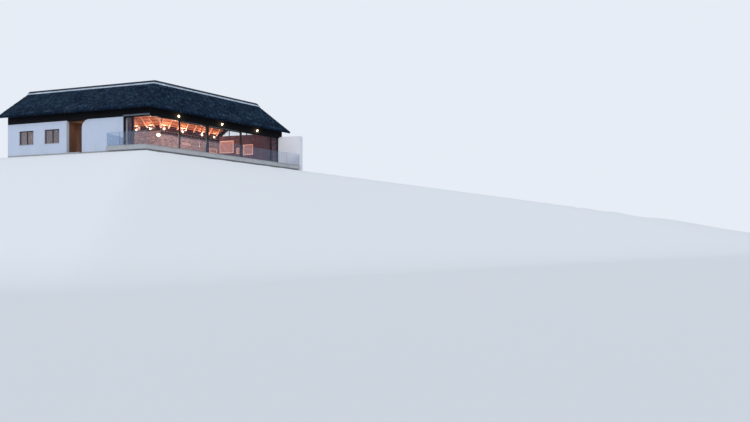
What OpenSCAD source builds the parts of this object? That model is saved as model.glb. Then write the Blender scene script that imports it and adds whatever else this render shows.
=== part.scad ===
// Single-storey beach house on a bent plan, with a thatched roof, a glazed sea front and a terrace.
// The sea-front wall line bends at one point. The left wing runs along -X from it, and the right wing turns
// inland by the bend angle. Inside a wing, x is the distance from the bend, y the distance inland and z the
// height above the finished floor.

/* [Plan] */
// Angle by which the right wing turns inland
bend_angle = 60; // [45:5:65]
// Distance from the sea front to the inner face of the back wall
room_depth = 5700; // [5400:50:6200]
// Distance from the bend to the outer face of the left end wall
left_length = 14770; // [13500:10:16500]
// Inland distance of the right end wall's room side, square to the left wing
right_reach = 11040; // [10600:10:11600]
// Thickness of the masonry walls
wall_t = 270; // [220:10:330]
// Thickness of the white fin wall at the right end
fin_t = 650; // [400:10:700]

/* [Heights] */
// Height of the window heads above the floor
head_z = 2800; // [2500:10:2900]
// Height of the thatch surface at its front edge
eave_z = 3460; // [3300:10:3600]
// Height of the thatch surface at the ridge
ridge_z = 6500; // [6300:10:6600]
// Height of the thatch surface over the room side of the back wall
back_line_z = 3760; // [3600:10:3900]
// Depth of the foundation below the floor
base_depth = 600; // [450:10:900]
// Height of the white fin wall above the floor
fin_top = 2900; // [2700:10:3100]
// Height of the masonry end walls, below the glazed gables
end_wall_z = 3270; // [2900:10:3300]

/* [Roof] */
// Distance inland of the ridge
ridge_y = 2480; // [2300:10:2700]
// Overhang of the thatch beyond the sea front
front_overhang = 800; // [600:10:1000]
// Overhang of the thatch beyond the back wall
back_overhang = 650; // [400:10:800]
// Overhang of the thatch at the two gable ends
verge = 450; // [300:10:600]
// Thickness of the thatch, square to the slope
thatch_t = 200; // [150:5:250]
// Radius to which the thatch is dressed over the hip
hip_radius = 1000; // [700:50:1400]
// Diameter of the pole rafters
rafter_d = 120; // [90:5:140]
// Distance between the pole rafters
rafter_pitch = 835; // [700:5:1000]
// Distance between the laths, down the slope
lath_pitch = 350; // [300:10:450]

/* [Front] */
// Depth of the terrace in front of the glazing
terrace_depth = 2050; // [1600:10:2400]
// Height of the glass balustrade's top above the floor
rail_h = 1030; // [1000:5:1100]
// Distance from the bend to the left end of the left glazing
left_glazing = 2540; // [2300:5:2700]
// Distance from the bend to the white wall's rounded end
white_wall_end = 6720; // [6400:10:7000]
// Radius of the white wall's rounded top corner
white_wall_radius = 720; // [400:10:900]
// Width of the porch recess beside the white wall
porch_w = 1600; // [1200:10:1900]

/* [Terrace doors] */
// Distance from the bend to the first post, where the first door meets the fixed pane
post_1 = 2550; // [2500:5:2600]
// Distance from the bend to the thick post between the two doors
post_2 = 5110; // [5060:5:5160]
// Distance from the bend to the post where the second door meets the fixed pane
post_3 = 8480; // [8400:5:8540]
// Distance from the bend to the post of the narrow pane
post_4 = 11880; // [11820:5:11940]
// Opening travel of both doors, 0 closed and 1 open
door_open = 0; // [0:0.05:1]

/* [Hidden] */
$fn = 36;

// Anything larger than the house, for cutting along a plane
far = 60000;
half_bend = bend_angle / 2;
slope = (ridge_z - eave_z) / (ridge_y + front_overhang);
pitch = atan(slope);
back_slope = (ridge_z - back_line_z) / (room_depth - ridge_y);
back_pitch = atan(back_slope);

// Fine joint between pieces that lie against each other
joint_gap = 1;

// Layers below the thatch, square to the slope
lath_w = 45;
lath_h = 25;
lath_depth = thatch_t + joint_gap + lath_h;
rafter_depth = lath_depth + joint_gap;
plate_depth = rafter_depth + rafter_d;

back_out = room_depth + wall_t;
back_eave = back_out + back_overhang;
board_t = 50;
hip_pole_d = 160;

slab_t = 150;
terrace_t = 400;
right_out = right_reach + wall_t;
right_verge = right_reach + verge;
left_verge = left_length + verge;

// Point on the mitre of the bend, y inland
function mitre(y) = [-y * tan(half_bend), y];
// Point of the right wing in the plan of the left wing
function right_point(x, y) = [x * cos(bend_angle) - y * sin(bend_angle),
                              x * sin(bend_angle) + y * cos(bend_angle)];
// Distance along the right wing at which it reaches an end line, y inland from the sea front
function right_end(reach, y) = (reach - y * cos(bend_angle)) / sin(bend_angle);
// Height of the front and back slopes, depth square to the slope below the thatch surface
function front_z(y, depth) = ridge_z - (ridge_y - y) * slope - depth / cos(pitch);
function back_z(y, depth) = ridge_z - (y - ridge_y) * back_slope - depth / cos(back_pitch);

fin_end = right_point(right_end(right_reach, -terrace_depth), -terrace_depth)[0];
centre_x = (fin_end - left_verge) / 2;
centre_y = (right_reach + fin_t - terrace_depth) / 2;

// Places the house with its origin under the centre of its footprint
module site() translate([-centre_x, -centre_y, base_depth]) children();

// Puts a piece drawn along +X from the bend into one of the wings
module wing(side) {
    if (side == "right") rotate(bend_angle) children();
    else mirror([1, 0, 0]) children();
}

// Everything on a wing's own side of the mitre, drawn in the wing's frame
module own_side(gap = 0) translate([gap / cos(half_bend), 0, 0])
    rotate(90 - half_bend) translate([-far, -2 * far, -far]) cube(2 * far);

// Everything before the end lines of the two wings, in the plan of the left wing
module before_ends(side, left_end, right_end_y) {
    if (side == "right") translate([-far, -far, -far]) cube([2 * far, far + right_end_y, 2 * far]);
    else translate([-left_end, -far, -far]) cube([2 * far, 2 * far, 2 * far]);
}

// A section drawn as [inland, height] points, run along a wing from the mitre to its end line
module wing_run(side, points, left_end, right_end_y, gap = 0) intersection() {
    wing(side) intersection() {
        translate([-far / 10, 0, 0]) rotate([90, 0, 90]) linear_extrude(far / 2) polygon(points);
        own_side(gap);
    }
    before_ends(side, left_end, right_end_y);
}

// Both wings of the same run, with a fine joint at the mitre
module bent_run(points, left_end, right_end_y) {
    wing_run("left", points, left_end, right_end_y, joint_gap);
    wing_run("right", points, left_end, right_end_y, joint_gap);
}

// Upright section in a wing: rectangle from y0 to y1 inland and z0 to z1 high
function oblong(y0, y1, z0, z1) = [[y0, z0], [y1, z0], [y1, z1], [y0, z1]];

// Box in a wing's frame
module block(x0, x1, y0, y1, z0, z1) translate([x0, y0, z0]) cube([x1 - x0, y1 - y0, z1 - z0]);

// Everything inland of the bent ridge line
module inland(y) translate([0, 0, -far]) linear_extrude(2 * far)
    polygon([mitre(y), mitre(y) + [-far, 0], mitre(y) + [-far, 2 * far],
             mitre(y) + far * [cos(bend_angle), sin(bend_angle)]]);

// Plan outline of the rooms' outer walls
module footprint(front, back, left_end, right_end_y) polygon([
    mitre(front), [-left_end, front], [-left_end, back], mitre(back),
    right_point(right_end(right_end_y, back), back), right_point(right_end(right_end_y, front), front)
]);

// Foundation, floor and terrace
foundation_inset = 40;
terrace_inset = 150;
terrace_step = 130;
wall_front = -wall_t / 2;
terrace_back = wall_front - joint_gap;
beam_front = -120;
beam_back = wall_t / 2;
terrace_lap = 15;
terrace_return = left_glazing + terrace_lap;

// Plan of the fin wall, which carries on the line of the right end wall
module fin_plan() polygon([
    right_point(right_end(right_reach, beam_back), beam_back), [fin_end, right_reach],
    [fin_end, right_reach + fin_t], right_point(right_end(right_reach + fin_t, beam_back), beam_back)
]);

module foundation() color("dimgray") site() translate([0, 0, -base_depth]) union() {
    linear_extrude(base_depth - slab_t) difference() {
        footprint(wall_front + foundation_inset, back_out - foundation_inset,
                  left_length - foundation_inset, right_out - foundation_inset);
        fin_plan();
    }
    linear_extrude(base_depth - terrace_t) polygon([
        mitre(0), [-terrace_return + terrace_inset, 0],
        [-terrace_return + terrace_inset, terrace_inset - terrace_depth],
        mitre(terrace_inset - terrace_depth),
        right_point(right_end(right_reach, terrace_inset - terrace_depth), terrace_inset - terrace_depth),
        right_point(right_end(right_reach, 0), 0)
    ]);
}

module floor_slab() color("silver") site() translate([0, 0, -slab_t]) linear_extrude(slab_t) difference() {
    footprint(wall_front, back_out, left_length, right_out);
    fin_plan();
}

module terrace_slab() color("darkgray") site()
    translate([0, 0, -terrace_t]) linear_extrude(terrace_t - terrace_step) polygon([
        mitre(terrace_back), [-terrace_return, terrace_back], [-terrace_return, -terrace_depth],
        mitre(-terrace_depth), right_point(right_end(right_reach, -terrace_depth), -terrace_depth),
        right_point(right_end(right_reach, terrace_back), terrace_back)
    ]);

// The fin wall, housed round the end of the eaves beam
module fin_wall() color("whitesmoke") site() difference() {
    translate([0, 0, -base_depth]) linear_extrude(base_depth + fin_top) fin_plan();
    wing_run("right", oblong(beam_front - joint_gap, beam_back + joint_gap, head_z - joint_gap, ridge_z),
             far, right_out + joint_gap);
}

// Under side of the roof at a depth below the thatch surface, as a prism along a wing
module under_roof(side, depth) wing_run(side, [
    [-terrace_depth, front_z(-terrace_depth, depth)], [ridge_y, front_z(ridge_y, depth)],
    [ridge_y, back_z(ridge_y, depth)], [back_eave, back_z(back_eave, depth)],
    [back_eave, -base_depth], [-terrace_depth, -base_depth]
], far, far);

// Everything in a wing between two lines parallel to its sea front
module strip(side, y0, y1) wing_run(side, oblong(y0, y1, -base_depth, ridge_z), far, far);

// Slice of one gable end from t0 to t1 beyond the room, under the roof and behind the eaves beam
module end_slice(side, t0, t1, z0, z1, depth, front = beam_back + joint_gap, back = back_out) intersection() {
    under_roof(side, depth);
    strip(side, front, back);
    if (side == "right") translate([-far, right_reach + t0, z0]) cube([2 * far, t1 - t0, z1 - z0]);
    else translate([-left_length + wall_t - t1, -far, z0]) cube([t1 - t0, 2 * far, z1 - z0]);
}

module end_wall_right() color("rosybrown") site() end_slice("right", 0, wall_t, 0, end_wall_z, rafter_depth);
module end_wall_left() color("whitesmoke") site() end_slice("left", 0, wall_t, 0, end_wall_z, rafter_depth);

// Pier inside the left glazing: its ends along the wing, its two faces and its top
pier = [2050, 2540, 180, 660, 3300];
module inner_pier() color("rosybrown") site() wing("left")
    block(pier[0], pier[1], pier[2], pier[3], 0, pier[4]);

// Height of the back walls
back_wall_z = 2950;

// Windows and doors of the plain walls: wing, wall line, ends, sill and head
openings = [
    ["left", "back", 7600, 8600, 0, 2150], ["left", "back", 9300, 10900, 900, 2150],
    ["left", "back", 11700, 13300, 900, 2150],
    ["right", "back", 4200, 5600, 400, 1300], ["right", "back", 6400, 7800, 400, 1300],
    ["left", "front", 9100, 10700, 900, 2150], ["left", "front", 11900, 13500, 900, 2150]
];

module wall_openings(side, line, y0, y1) for (o = openings)
    if (o[0] == side && o[1] == line) block(o[2], o[3], y0, y1, o[4], o[5]);

module back_wall(side) intersection() {
    wing(side) difference() {
        intersection() {
            block(0, far / 2, room_depth, back_out, 0, back_wall_z);
            own_side();
        }
        wall_openings(side, "back", room_depth - wall_t, back_out + wall_t);
    }
    before_ends(side, left_length - wall_t, right_reach);
}
module back_wall_left() color("whitesmoke") site() back_wall("left");
module back_wall_right() color("whitesmoke") site() back_wall("right");

porch_end = white_wall_end + porch_w;
porch_y = 900;
porch_lining = 100;

// White wall panel with a rounded top corner, seen from the front
panel_corner = [white_wall_end - white_wall_radius, head_z - white_wall_radius];
module white_panel() difference() {
    translate([left_glazing, 0]) square([white_wall_end - left_glazing, head_z]);
    difference() {
        translate(panel_corner) square(2 * white_wall_radius);
        translate(panel_corner) circle(white_wall_radius);
    }
}

module front_wall() color("white") site() wing("left") difference() {
    union() {
        translate([0, wall_front + wall_t, 0]) rotate([90, 0, 0]) linear_extrude(wall_t) white_panel();
        block(porch_end, left_length, wall_front, wall_front + wall_t, 0, head_z);
    }
    wall_openings("left", "front", wall_front - wall_t, wall_front + 2 * wall_t);
}

module porch_wall() color("saddlebrown") site() wing("left") difference() {
    porch_start = white_wall_end - white_wall_radius;
    block(porch_start - porch_lining, porch_end + porch_lining, -wall_front, porch_y + porch_lining,
          0, head_z);
    block(porch_start, porch_end, -far, porch_y, -porch_lining, head_z - porch_lining);
}

// Frames set in the window openings
frame_w = 60;
frame_d = 70;
pane_t = 24;

module window_frame(x0, x1, z0, z1, y) {
    middle = (x0 + x1) / 2;
    difference() {
        block(x0, x1, y - frame_d / 2, y + frame_d / 2, z0, z1);
        block(x0 + frame_w, middle - frame_w / 2, y - frame_d, y + frame_d, z0 + frame_w, z1 - frame_w);
        block(middle + frame_w / 2, x1 - frame_w, y - frame_d, y + frame_d, z0 + frame_w, z1 - frame_w);
    }
}

module window_panes(x0, x1, z0, z1, y) {
    middle = (x0 + x1) / 2;
    block(x0 + frame_w, middle - frame_w / 2, y - pane_t / 2, y + pane_t / 2, z0 + frame_w, z1 - frame_w);
    block(middle + frame_w / 2, x1 - frame_w, y - pane_t / 2, y + pane_t / 2, z0 + frame_w, z1 - frame_w);
}

// Middle line of the wall that an opening is in
function wall_middle(line) = line == "back" ? room_depth + wall_t / 2 : 0;

module window_frames() color("black") site()
    for (o = openings) wing(o[0]) window_frame(o[2], o[3], o[4], o[5], wall_middle(o[1]));
module window_glass() color("lightblue", 0.4) site() {
    for (o = openings) wing(o[0]) window_panes(o[2], o[3], o[4], o[5], wall_middle(o[1]));
    gable_opening("left", (wall_t - pane_t) / 2, (wall_t + pane_t) / 2);
    gable_opening("right", (wall_t - pane_t) / 2, (wall_t + pane_t) / 2);
}

// Glazed gables over the two end walls
gable_rail = 70;
gable_front = (wall_t - frame_d) / 2;
right_bars = [820, 2800, 4780];
left_bars = [1500, 3000, 4500];

// Uprights of a gable frame, set out along it from the front
module gable_bars(side) for (b = side == "right" ? right_bars : left_bars) {
    if (side == "right") translate([b - gable_rail / 2, -far, -far]) cube([gable_rail, 2 * far, 2 * far]);
    else translate([-far, b - gable_rail / 2, -far]) cube([2 * far, gable_rail, 2 * far]);
}

module gable_opening(side, t0, t1) difference() {
    end_slice(side, t0, t1, end_wall_z + gable_rail, far, rafter_depth + gable_rail,
              beam_back + gable_rail, back_out - gable_rail);
    gable_bars(side);
}

module gable_frame(side) difference() {
    end_slice(side, gable_front, gable_front + frame_d, end_wall_z, far, rafter_depth);
    gable_opening(side, 0, wall_t);
}

module gable_frames() color("black") site() {
    gable_frame("left");
    gable_frame("right");
}

// Deep black beam over the sea front, with a bevelled plate on which the rafters lie
plate_bottom = 3400;
plate_inset = 20;
back_plate_inset = 35;

module eaves_beam(side)
    wing_run(side, oblong(beam_front, beam_back, head_z, plate_bottom), left_length, right_out, joint_gap);
module eaves_beam_left() color("black") site() eaves_beam("left");
module eaves_beam_right() color("black") site() eaves_beam("right");

module wall_plates() color("black") site() difference() {
    plate_runs();
    hip_pole(joint_gap);
    valley_pole(joint_gap);
}
module plate_runs() {
    front0 = beam_front + plate_inset;
    front1 = beam_back - plate_inset;
    back0 = room_depth + back_plate_inset;
    back1 = back_out - back_plate_inset;
    bent_run([[front0, plate_bottom], [front1, plate_bottom], [front1, front_z(front1, plate_depth)],
              [front0, front_z(front0, plate_depth)]], left_length, right_out);
    bent_run([[back0, back_wall_z], [back1, back_wall_z], [back1, back_z(back1, plate_depth)],
              [back0, back_z(back0, plate_depth)]], left_length - wall_t, right_reach);
}

// Steel posts and glazing of the sea front
post_d = 120;
corner_post = right_end(right_reach, post_d / 2) - joint_gap;
corner_post_w = 80;
posts_right = [[post_1, 70], [post_2, 250], [post_3, 110], [post_4, 60],
               [corner_post - corner_post_w / 2, corner_post_w]];
posts_left = [[1715, 50], [left_glazing - 40, 80]];

// Where the glazing before and behind a post ends
function before_post(p) = p[0] - p[1] / 2 - joint_gap;
function behind_post(p) = p[0] + p[1] / 2 + joint_gap;

module post(x, w) block(x - w / 2, x + w / 2, -post_d / 2, post_d / 2, 0, head_z);

module posts() color("black") site() {
    wing("right") for (p = posts_right) post(p[0], p[1]);
    wing("left") for (p = posts_left) post(p[0], p[1]);
}

rail_w = 60;

// Fixed frame between two posts, with its pane
module fixed_frame(x0, x1) difference() {
    block(x0, x1, -frame_d / 2, frame_d / 2, 0, head_z);
    block(x0 + rail_w, x1 - rail_w, -frame_d, frame_d, rail_w, head_z - rail_w);
}
module fixed_pane(x0, x1) block(x0 + rail_w, x1 - rail_w, -pane_t / 2, pane_t / 2, rail_w, head_z - rail_w);

// Frame and pane that meet the other wing's glass at the bend without a post
module bend_frame(x1) intersection() {
    difference() {
        block(-post_d, x1, -frame_d / 2, frame_d / 2, 0, head_z);
        block(-far, x1 - rail_w, -frame_d, frame_d, rail_w, head_z - rail_w);
    }
    own_side(joint_gap);
}
module bend_pane(x1) intersection() {
    block(-post_d, x1 - rail_w, -pane_t / 2, pane_t / 2, rail_w, head_z - rail_w);
    own_side(joint_gap);
}

module glazing_frame_left() color("black") site() wing("left") {
    bend_frame(before_post(posts_left[0]));
    fixed_frame(behind_post(posts_left[0]), before_post(posts_left[1]));
}
module glazing_glass_left() color("lightblue", 0.4) site() wing("left") {
    bend_pane(before_post(posts_left[0]));
    fixed_pane(behind_post(posts_left[0]), before_post(posts_left[1]));
}
module glazing_frame_right() color("black") site() wing("right") {
    bend_frame(before_post(posts_right[0]));
    fixed_frame(behind_post(posts_right[2]), before_post(posts_right[3]));
    fixed_frame(behind_post(posts_right[3]), before_post(posts_right[4]));
}
module glazing_glass_right() color("lightblue", 0.4) site() wing("right") {
    bend_pane(before_post(posts_right[0]));
    fixed_pane(behind_post(posts_right[2]), before_post(posts_right[3]));
    fixed_pane(behind_post(posts_right[3]), before_post(posts_right[4]));
}

// Sliding terrace doors on the room side of the posts
door_front = 75;
door_back = 125;
door_clear = 6;
track_h = 15;
door_bottom = track_h + door_clear;
door_top = head_z - 35;
door_stile = 90;
pane_in = 10;
door_one_lap = 40;
door_two_lap = 55;
door_meeting = 10;
door_one = [post_1 - door_one_lap, post_2 - door_meeting];
door_two = [post_2 + door_meeting, post_3 + door_two_lap];
door_one_travel = 2400;
door_two_travel = 3300;

module door_frame(x) difference() {
    block(x[0], x[1], door_front, door_back, door_bottom, door_top);
    block(x[0] + door_stile, x[1] - door_stile, 0, 2 * door_back,
          door_bottom + door_stile, door_top - door_stile);
}
module door_pane(x) block(x[0] + door_stile, x[1] - door_stile, door_front + pane_in, door_back - pane_in,
                          door_bottom + door_stile, door_top - door_stile);

module door_one_frame() color("black") site() wing("right")
    translate([-door_open * door_one_travel, 0, 0]) door_frame(door_one);
module door_one_glass() color("lightblue", 0.4) site() wing("right")
    translate([-door_open * door_one_travel, 0, 0]) door_pane(door_one);
module door_two_frame() color("black") site() wing("right")
    translate([door_open * door_two_travel, 0, 0]) door_frame(door_two);
module door_two_glass() color("lightblue", 0.4) site() wing("right")
    translate([door_open * door_two_travel, 0, 0]) door_pane(door_two);

// Sill track and head guide of the doors
track_lip = 8;
guide_depth = 20;
track_start = 85;
module door_track() color("dimgray") site() wing("right") {
    track = [track_start, right_end(right_reach, beam_back) - door_meeting];
    block(track[0], track[1], door_front - door_clear, door_back + door_clear, 0, track_h);
    difference() {
        block(track[0], track[1], door_front - door_clear - track_lip, door_back + door_clear + track_lip,
              door_top - guide_depth, head_z);
        block(track[0] - 1, track[1] + 1, door_front - door_clear, door_back + door_clear,
              door_top - 2 * guide_depth, door_top + door_clear);
    }
}

// Glass balustrade along the terrace edge
rail_in = 70;
rail_y = -terrace_depth + rail_in;
channel_w = 60;
channel_h = 110;
rail_glass_t = 18;
panel_gap = 12;
rail_bed = 30;
panels_right = 10;
panels_left = 3;
rail_start = rail_y * tan(half_bend);
rail_return = terrace_return - rail_in;
return_rail = [rail_y + channel_w / 2 + 2 * joint_gap, wall_front];

module channel_section() difference() {
    translate([-channel_w / 2, -terrace_step]) square([channel_w, channel_h]);
    translate([-rail_glass_t / 2, rail_bed - terrace_step]) square([rail_glass_t, channel_h]);
}

module balustrade_channel() color("gray") site() {
    for (side = ["left", "right"]) intersection() {
        wing(side) intersection() {
            translate([-far / 10, rail_y, 0]) rotate([90, 0, 90]) linear_extrude(far / 2) channel_section();
            own_side(joint_gap);
        }
        before_ends(side, rail_return + channel_w / 2, right_reach);
    }
    wing("left") translate([rail_return, return_rail[1], 0]) rotate([90, 0, 0])
        linear_extrude(return_rail[1] - return_rail[0]) channel_section();
}

// Row of glass panels from x0 to x1 along a wing's balustrade line
module panel_row(x0, x1, count) {
    width = (x1 - x0) / count;
    for (i = [0:count - 1])
        block(x0 + i * width + (i > 0 ? panel_gap / 2 : -far / 100), x0 + (i + 1) * width - panel_gap / 2,
              rail_y - rail_glass_t / 2, rail_y + rail_glass_t / 2, rail_bed - terrace_step, rail_h);
}

module balustrade_glass() color("lightblue", 0.4) site() {
    intersection() {
        wing("right") intersection() {
            panel_row(rail_start, right_end(right_reach, rail_y), panels_right);
            own_side(panel_gap / 2);
        }
        before_ends("right", far, right_reach - panel_gap);
    }
    wing("left") {
        intersection() {
            panel_row(rail_start, rail_return, panels_left);
            own_side(panel_gap / 2);
        }
        block(rail_return - rail_glass_t / 2, rail_return + rail_glass_t / 2, return_rail[0] + panel_gap,
              return_rail[1] - panel_gap, rail_bed - terrace_step, rail_h);
    }
}

// Roof timbers
board_below = 100;
board_clear = 25;
ridge_under = front_z(ridge_y, plate_depth) - board_below;
ridge_over = front_z(ridge_y - board_t / 2, rafter_depth) - board_clear;

module ridge_board() color("burlywood") site() bent_run([
    [ridge_y - board_t / 2, ridge_under], [ridge_y + board_t / 2, ridge_under],
    [ridge_y + board_t / 2, ridge_over], [ridge_y - board_t / 2, ridge_over]
], left_length - wall_t + gable_front, right_reach + gable_front);

// The hip and the valley rise towards the ridge at these angles, in the plane of the mitre
hip_rise = atan(slope * cos(half_bend));
valley_rise = atan(back_slope * cos(half_bend));
// Half the angles by which the surface turns over the hip and in the valley
hip_turn = asin(sin(pitch) * sin(half_bend));
valley_turn = asin(sin(back_pitch) * sin(half_bend));
function hip_reach(y) = y / cos(half_bend);

// Turns a piece drawn along +Z into the line of the hip, its own -X side upwards, starting at the sea front
module along_hip(y) rotate(90 + half_bend) translate([hip_reach(y), 0, front_z(y, 0)])
    rotate([0, 90 - hip_rise, 0]) children();
module along_valley(y) rotate(90 + half_bend) translate([hip_reach(y), 0, back_z(y, 0)])
    rotate([0, 90 + valley_rise, 0]) children();

tail_front = -420;
tail_out = 350;
tail_back = back_out + tail_out;
hip_axis = hip_radius / cos(hip_turn);
hip_pole_drop = hip_axis - (hip_radius - rafter_depth - hip_pole_d / 2);
valley_pole_clear = 10;
valley_pole_drop = (rafter_depth + hip_pole_d / 2) / cos(valley_turn) + valley_pole_clear;

// Poles under the hip and the valley, and the notches for them when drawn larger all round
module hip_pole(grow = 0)
    along_hip(tail_front) translate([hip_pole_drop, 0, 0]) cylinder(d = hip_pole_d + 2 * grow, h = far / 6);
module valley_pole(grow = 0) along_valley(ridge_y)
    translate([valley_pole_drop, 0, -far / 60]) cylinder(d = hip_pole_d + 2 * grow, h = far / 6);

module hip_rafter() color("burlywood") site() difference() {
    hip_pole();
    inland(ridge_y - board_t / 2 - joint_gap);
}
module valley_rafter() color("burlywood") site() intersection() {
    valley_pole();
    inland(ridge_y + board_t / 2 + joint_gap);
    rotate(90 + half_bend) translate([-far, -far, -far]) cube([far + hip_reach(tail_back), 2 * far, 2 * far]);
}

rafter_first = [630, 795];
rafters_per_wing = 17;
rafter_gap = hip_pole_d / 2 + 2 * joint_gap;
rafter_end_gap = 60;
rafter_sides = 24;

// Pole rafters of one wing, front and back slopes, cut at the hip and valley poles and at the gables
module rafters(side) intersection() {
    wing(side) intersection() {
        first = side == "left" ? rafter_first[0] : rafter_first[1];
        for (i = [0:rafters_per_wing - 1]) translate([first + i * rafter_pitch, 0, 0]) {
            intersection() {
                translate([0, tail_front, front_z(tail_front, rafter_depth + rafter_d / 2)])
                    rotate([pitch - 90, 0, 0]) cylinder(d = rafter_d, h = far / 6, $fn = rafter_sides);
                translate([-far / 2, -far, 0]) cube([far, far + ridge_y - board_t / 2, far]);
            }
            intersection() {
                translate([0, tail_back, back_z(tail_back, rafter_depth + rafter_d / 2)])
                    rotate([90 - back_pitch, 0, 0]) cylinder(d = rafter_d, h = far / 6, $fn = rafter_sides);
                translate([-far / 2, ridge_y + board_t / 2, 0]) cube([far, far, far]);
            }
        }
        own_side(rafter_gap);
    }
    before_ends(side, left_length - wall_t - rafter_end_gap, right_reach - rafter_end_gap);
}
module rafters_left() color("burlywood") site() rafters("left");
module rafters_right() color("burlywood") site() rafters("right");

// Laths along the wings, under the thatch
lath_count = 12;
back_lath_count = 15;
lath_first = 150;
lath_hip_gap = hip_radius * tan(hip_turn);
lath_valley_gap = 20;
lath_end = 30;

// Section of a lath at the middle of its lower side, on a slope that rises inland by an angle
function lath_section(y, z, angle) = let(w = lath_w / 2 * [cos(angle), sin(angle)],
                                         h = lath_h * [-sin(angle), cos(angle)])
    [[y, z] - w, [y, z] + w, [y, z] + w + h, [y, z] - w + h];

module laths(side) {
    for (i = [0:lath_count - 1]) {
        y = -front_overhang + (lath_first + i * lath_pitch) * cos(pitch) + lath_depth * sin(pitch);
        wing_run(side, lath_section(y, front_z(y, lath_depth), pitch),
                 left_verge - lath_end, right_verge - lath_end, lath_hip_gap);
    }
    for (i = [0:back_lath_count - 1]) {
        y = back_eave - (lath_first + i * lath_pitch) * cos(back_pitch) - lath_depth * sin(back_pitch);
        wing_run(side, lath_section(y, back_z(y, lath_depth), -back_pitch),
                 left_verge - lath_end, right_verge - lath_end, lath_valley_gap);
    }
}
module laths_left() color("peru") site() laths("left");
module laths_right() color("peru") site() laths("right");

// Thatch: two slopes a wing, and the rounded hip between the front slopes, with eaves cut square
front_cut = thatch_t * [sin(pitch), -cos(pitch)];
back_cut = thatch_t * [-sin(back_pitch), -cos(back_pitch)];

// Distance up the hip at which its rounding meets the straight eaves
eave_to_hip = acos(cos(hip_rise) * sin(half_bend));
hip_start = hip_radius * tan(hip_turn) / tan(eave_to_hip);

// Sector of the rounded hip, between two depths below the surface
module hip_sector(outer, inner) along_hip(-front_overhang) translate([hip_axis, 0, hip_start])
    rotate(180 - hip_turn) rotate_extrude(angle = 2 * hip_turn)
        translate([inner, 0]) square([outer - inner, far / 6]);

// Side of the plane that joins a front slope to the rounded hip, in the plan of the left wing
module hip_side(side) along_hip(0) translate([hip_axis, 0, 0]) {
    if (side == "left") rotate(180 - hip_turn) translate([-far, -2 * far - joint_gap, -far]) cube(2 * far);
    else rotate(180 + hip_turn) translate([-far, joint_gap, -far]) cube(2 * far);
}

module thatch_slopes(side) {
    front = ridge_y - joint_gap;
    back = ridge_y + joint_gap;
    intersection() {
        wing_run(side, [
            [-front_overhang, front_z(-front_overhang, 0)],
            [-front_overhang, front_z(-front_overhang, 0)] + front_cut,
            [front, front_z(front, thatch_t)], [front, front_z(front, 0)]
        ], left_verge, right_verge, joint_gap);
        hip_side(side);
    }
    wing_run(side, [
        [back, back_z(back, 0)], [back, back_z(back, thatch_t)],
        [back_eave, back_z(back_eave, 0)] + back_cut, [back_eave, back_z(back_eave, 0)]
    ], left_verge, right_verge, joint_gap);
}
module thatch_left() color("slategray") site() thatch_slopes("left");
module thatch_right() color("slategray") site() thatch_slopes("right");
module thatch_hip() color("slategray") site() difference() {
    hip_sector(hip_radius, hip_radius - thatch_t);
    inland(ridge_y);
}

// Ridge capping with its pale flashing strip
cap_t = 40;
cap_reach = 190;
flashing_t = 30;
flashing_reach = 340;

// Covering of both sides of the ridge, from one height above the thatch to another
module ridge_cover(reach, low, high) {
    front = [ridge_y - reach, ridge_y - joint_gap];
    back = [ridge_y + joint_gap, ridge_y + reach];
    bent_run([[front[0], front_z(front[0], -low)], [front[1], front_z(front[1], -low)],
              [front[1], front_z(front[1], -high)], [front[0], front_z(front[0], -high)]],
             left_verge, right_verge);
    bent_run([[back[0], back_z(back[0], -low)], [back[1], back_z(back[1], -low)],
              [back[1], back_z(back[1], -high)], [back[0], back_z(back[0], -high)]],
             left_verge, right_verge);
}
module ridge_flashing() color("lightgray") site() ridge_cover(flashing_reach, joint_gap, flashing_t);
module ridge_cap() color("dimgray") site() ridge_cover(cap_reach, flashing_t + joint_gap, flashing_t + cap_t);

// Pale strip over the left glazing
pelmet_t = 40;
pelmet_over = [10, 130];
module pelmet() color("lightgray") site() wing("left") intersection() {
    block(-post_d, left_glazing, beam_front - pelmet_t, beam_front,
          head_z + pelmet_over[0], head_z + pelmet_over[1]);
    own_side(joint_gap);
}

// Round lamps on the eaves beam, and the porch lamp
lamp_z = 3100;
lamp_d = 170;
lamp_rim = 20;
lamp_depth = 90;
front_lamps = [2390, 6480, 10210];
porch_lamp = [7140, 2400];

module round_lamp(x, y, z) translate([x, y, z]) rotate([90, 0, 0]) union() {
    cylinder(d = lamp_d, h = lamp_depth);
    cylinder(d = lamp_d + 2 * lamp_rim, h = lamp_depth / 3);
}
module outside_lamps() color("khaki") site() {
    wing("right") for (x = front_lamps) round_lamp(x, beam_front, lamp_z);
    wing("left") round_lamp(porch_lamp[0], porch_y, porch_lamp[1]);
}

// Lamps of the rooms: a globe on a rod from the ridge board, and uplighters on the back plate
globe_d = 300;
rod_d = 16;
globe = ["right", 1750, 1790];
uplighter_d = 130;
uplighter_h = 110;
uplighter_y = room_depth + back_plate_inset - uplighter_d / 2;
uplighter_z = back_z(room_depth, plate_depth) - 2 * uplighter_h;
uplighters = [["left", 4390], ["left", 5980], ["right", 3650], ["right", 5470], ["right", 7510],
              ["right", 8840]];

module room_lamps() color("khaki") site() {
    wing(globe[0]) translate([globe[1], ridge_y, globe[2]]) {
        rod_start = globe_d / 2 + joint_gap;
        sphere(d = globe_d);
        translate([0, 0, rod_start])
            cylinder(d = rod_d, h = ridge_under - globe[2] - rod_start - joint_gap);
    }
    for (u = uplighters) wing(u[0]) translate([u[1], uplighter_y, uplighter_z])
        cylinder(d = uplighter_d, h = uplighter_h);
}

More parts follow.
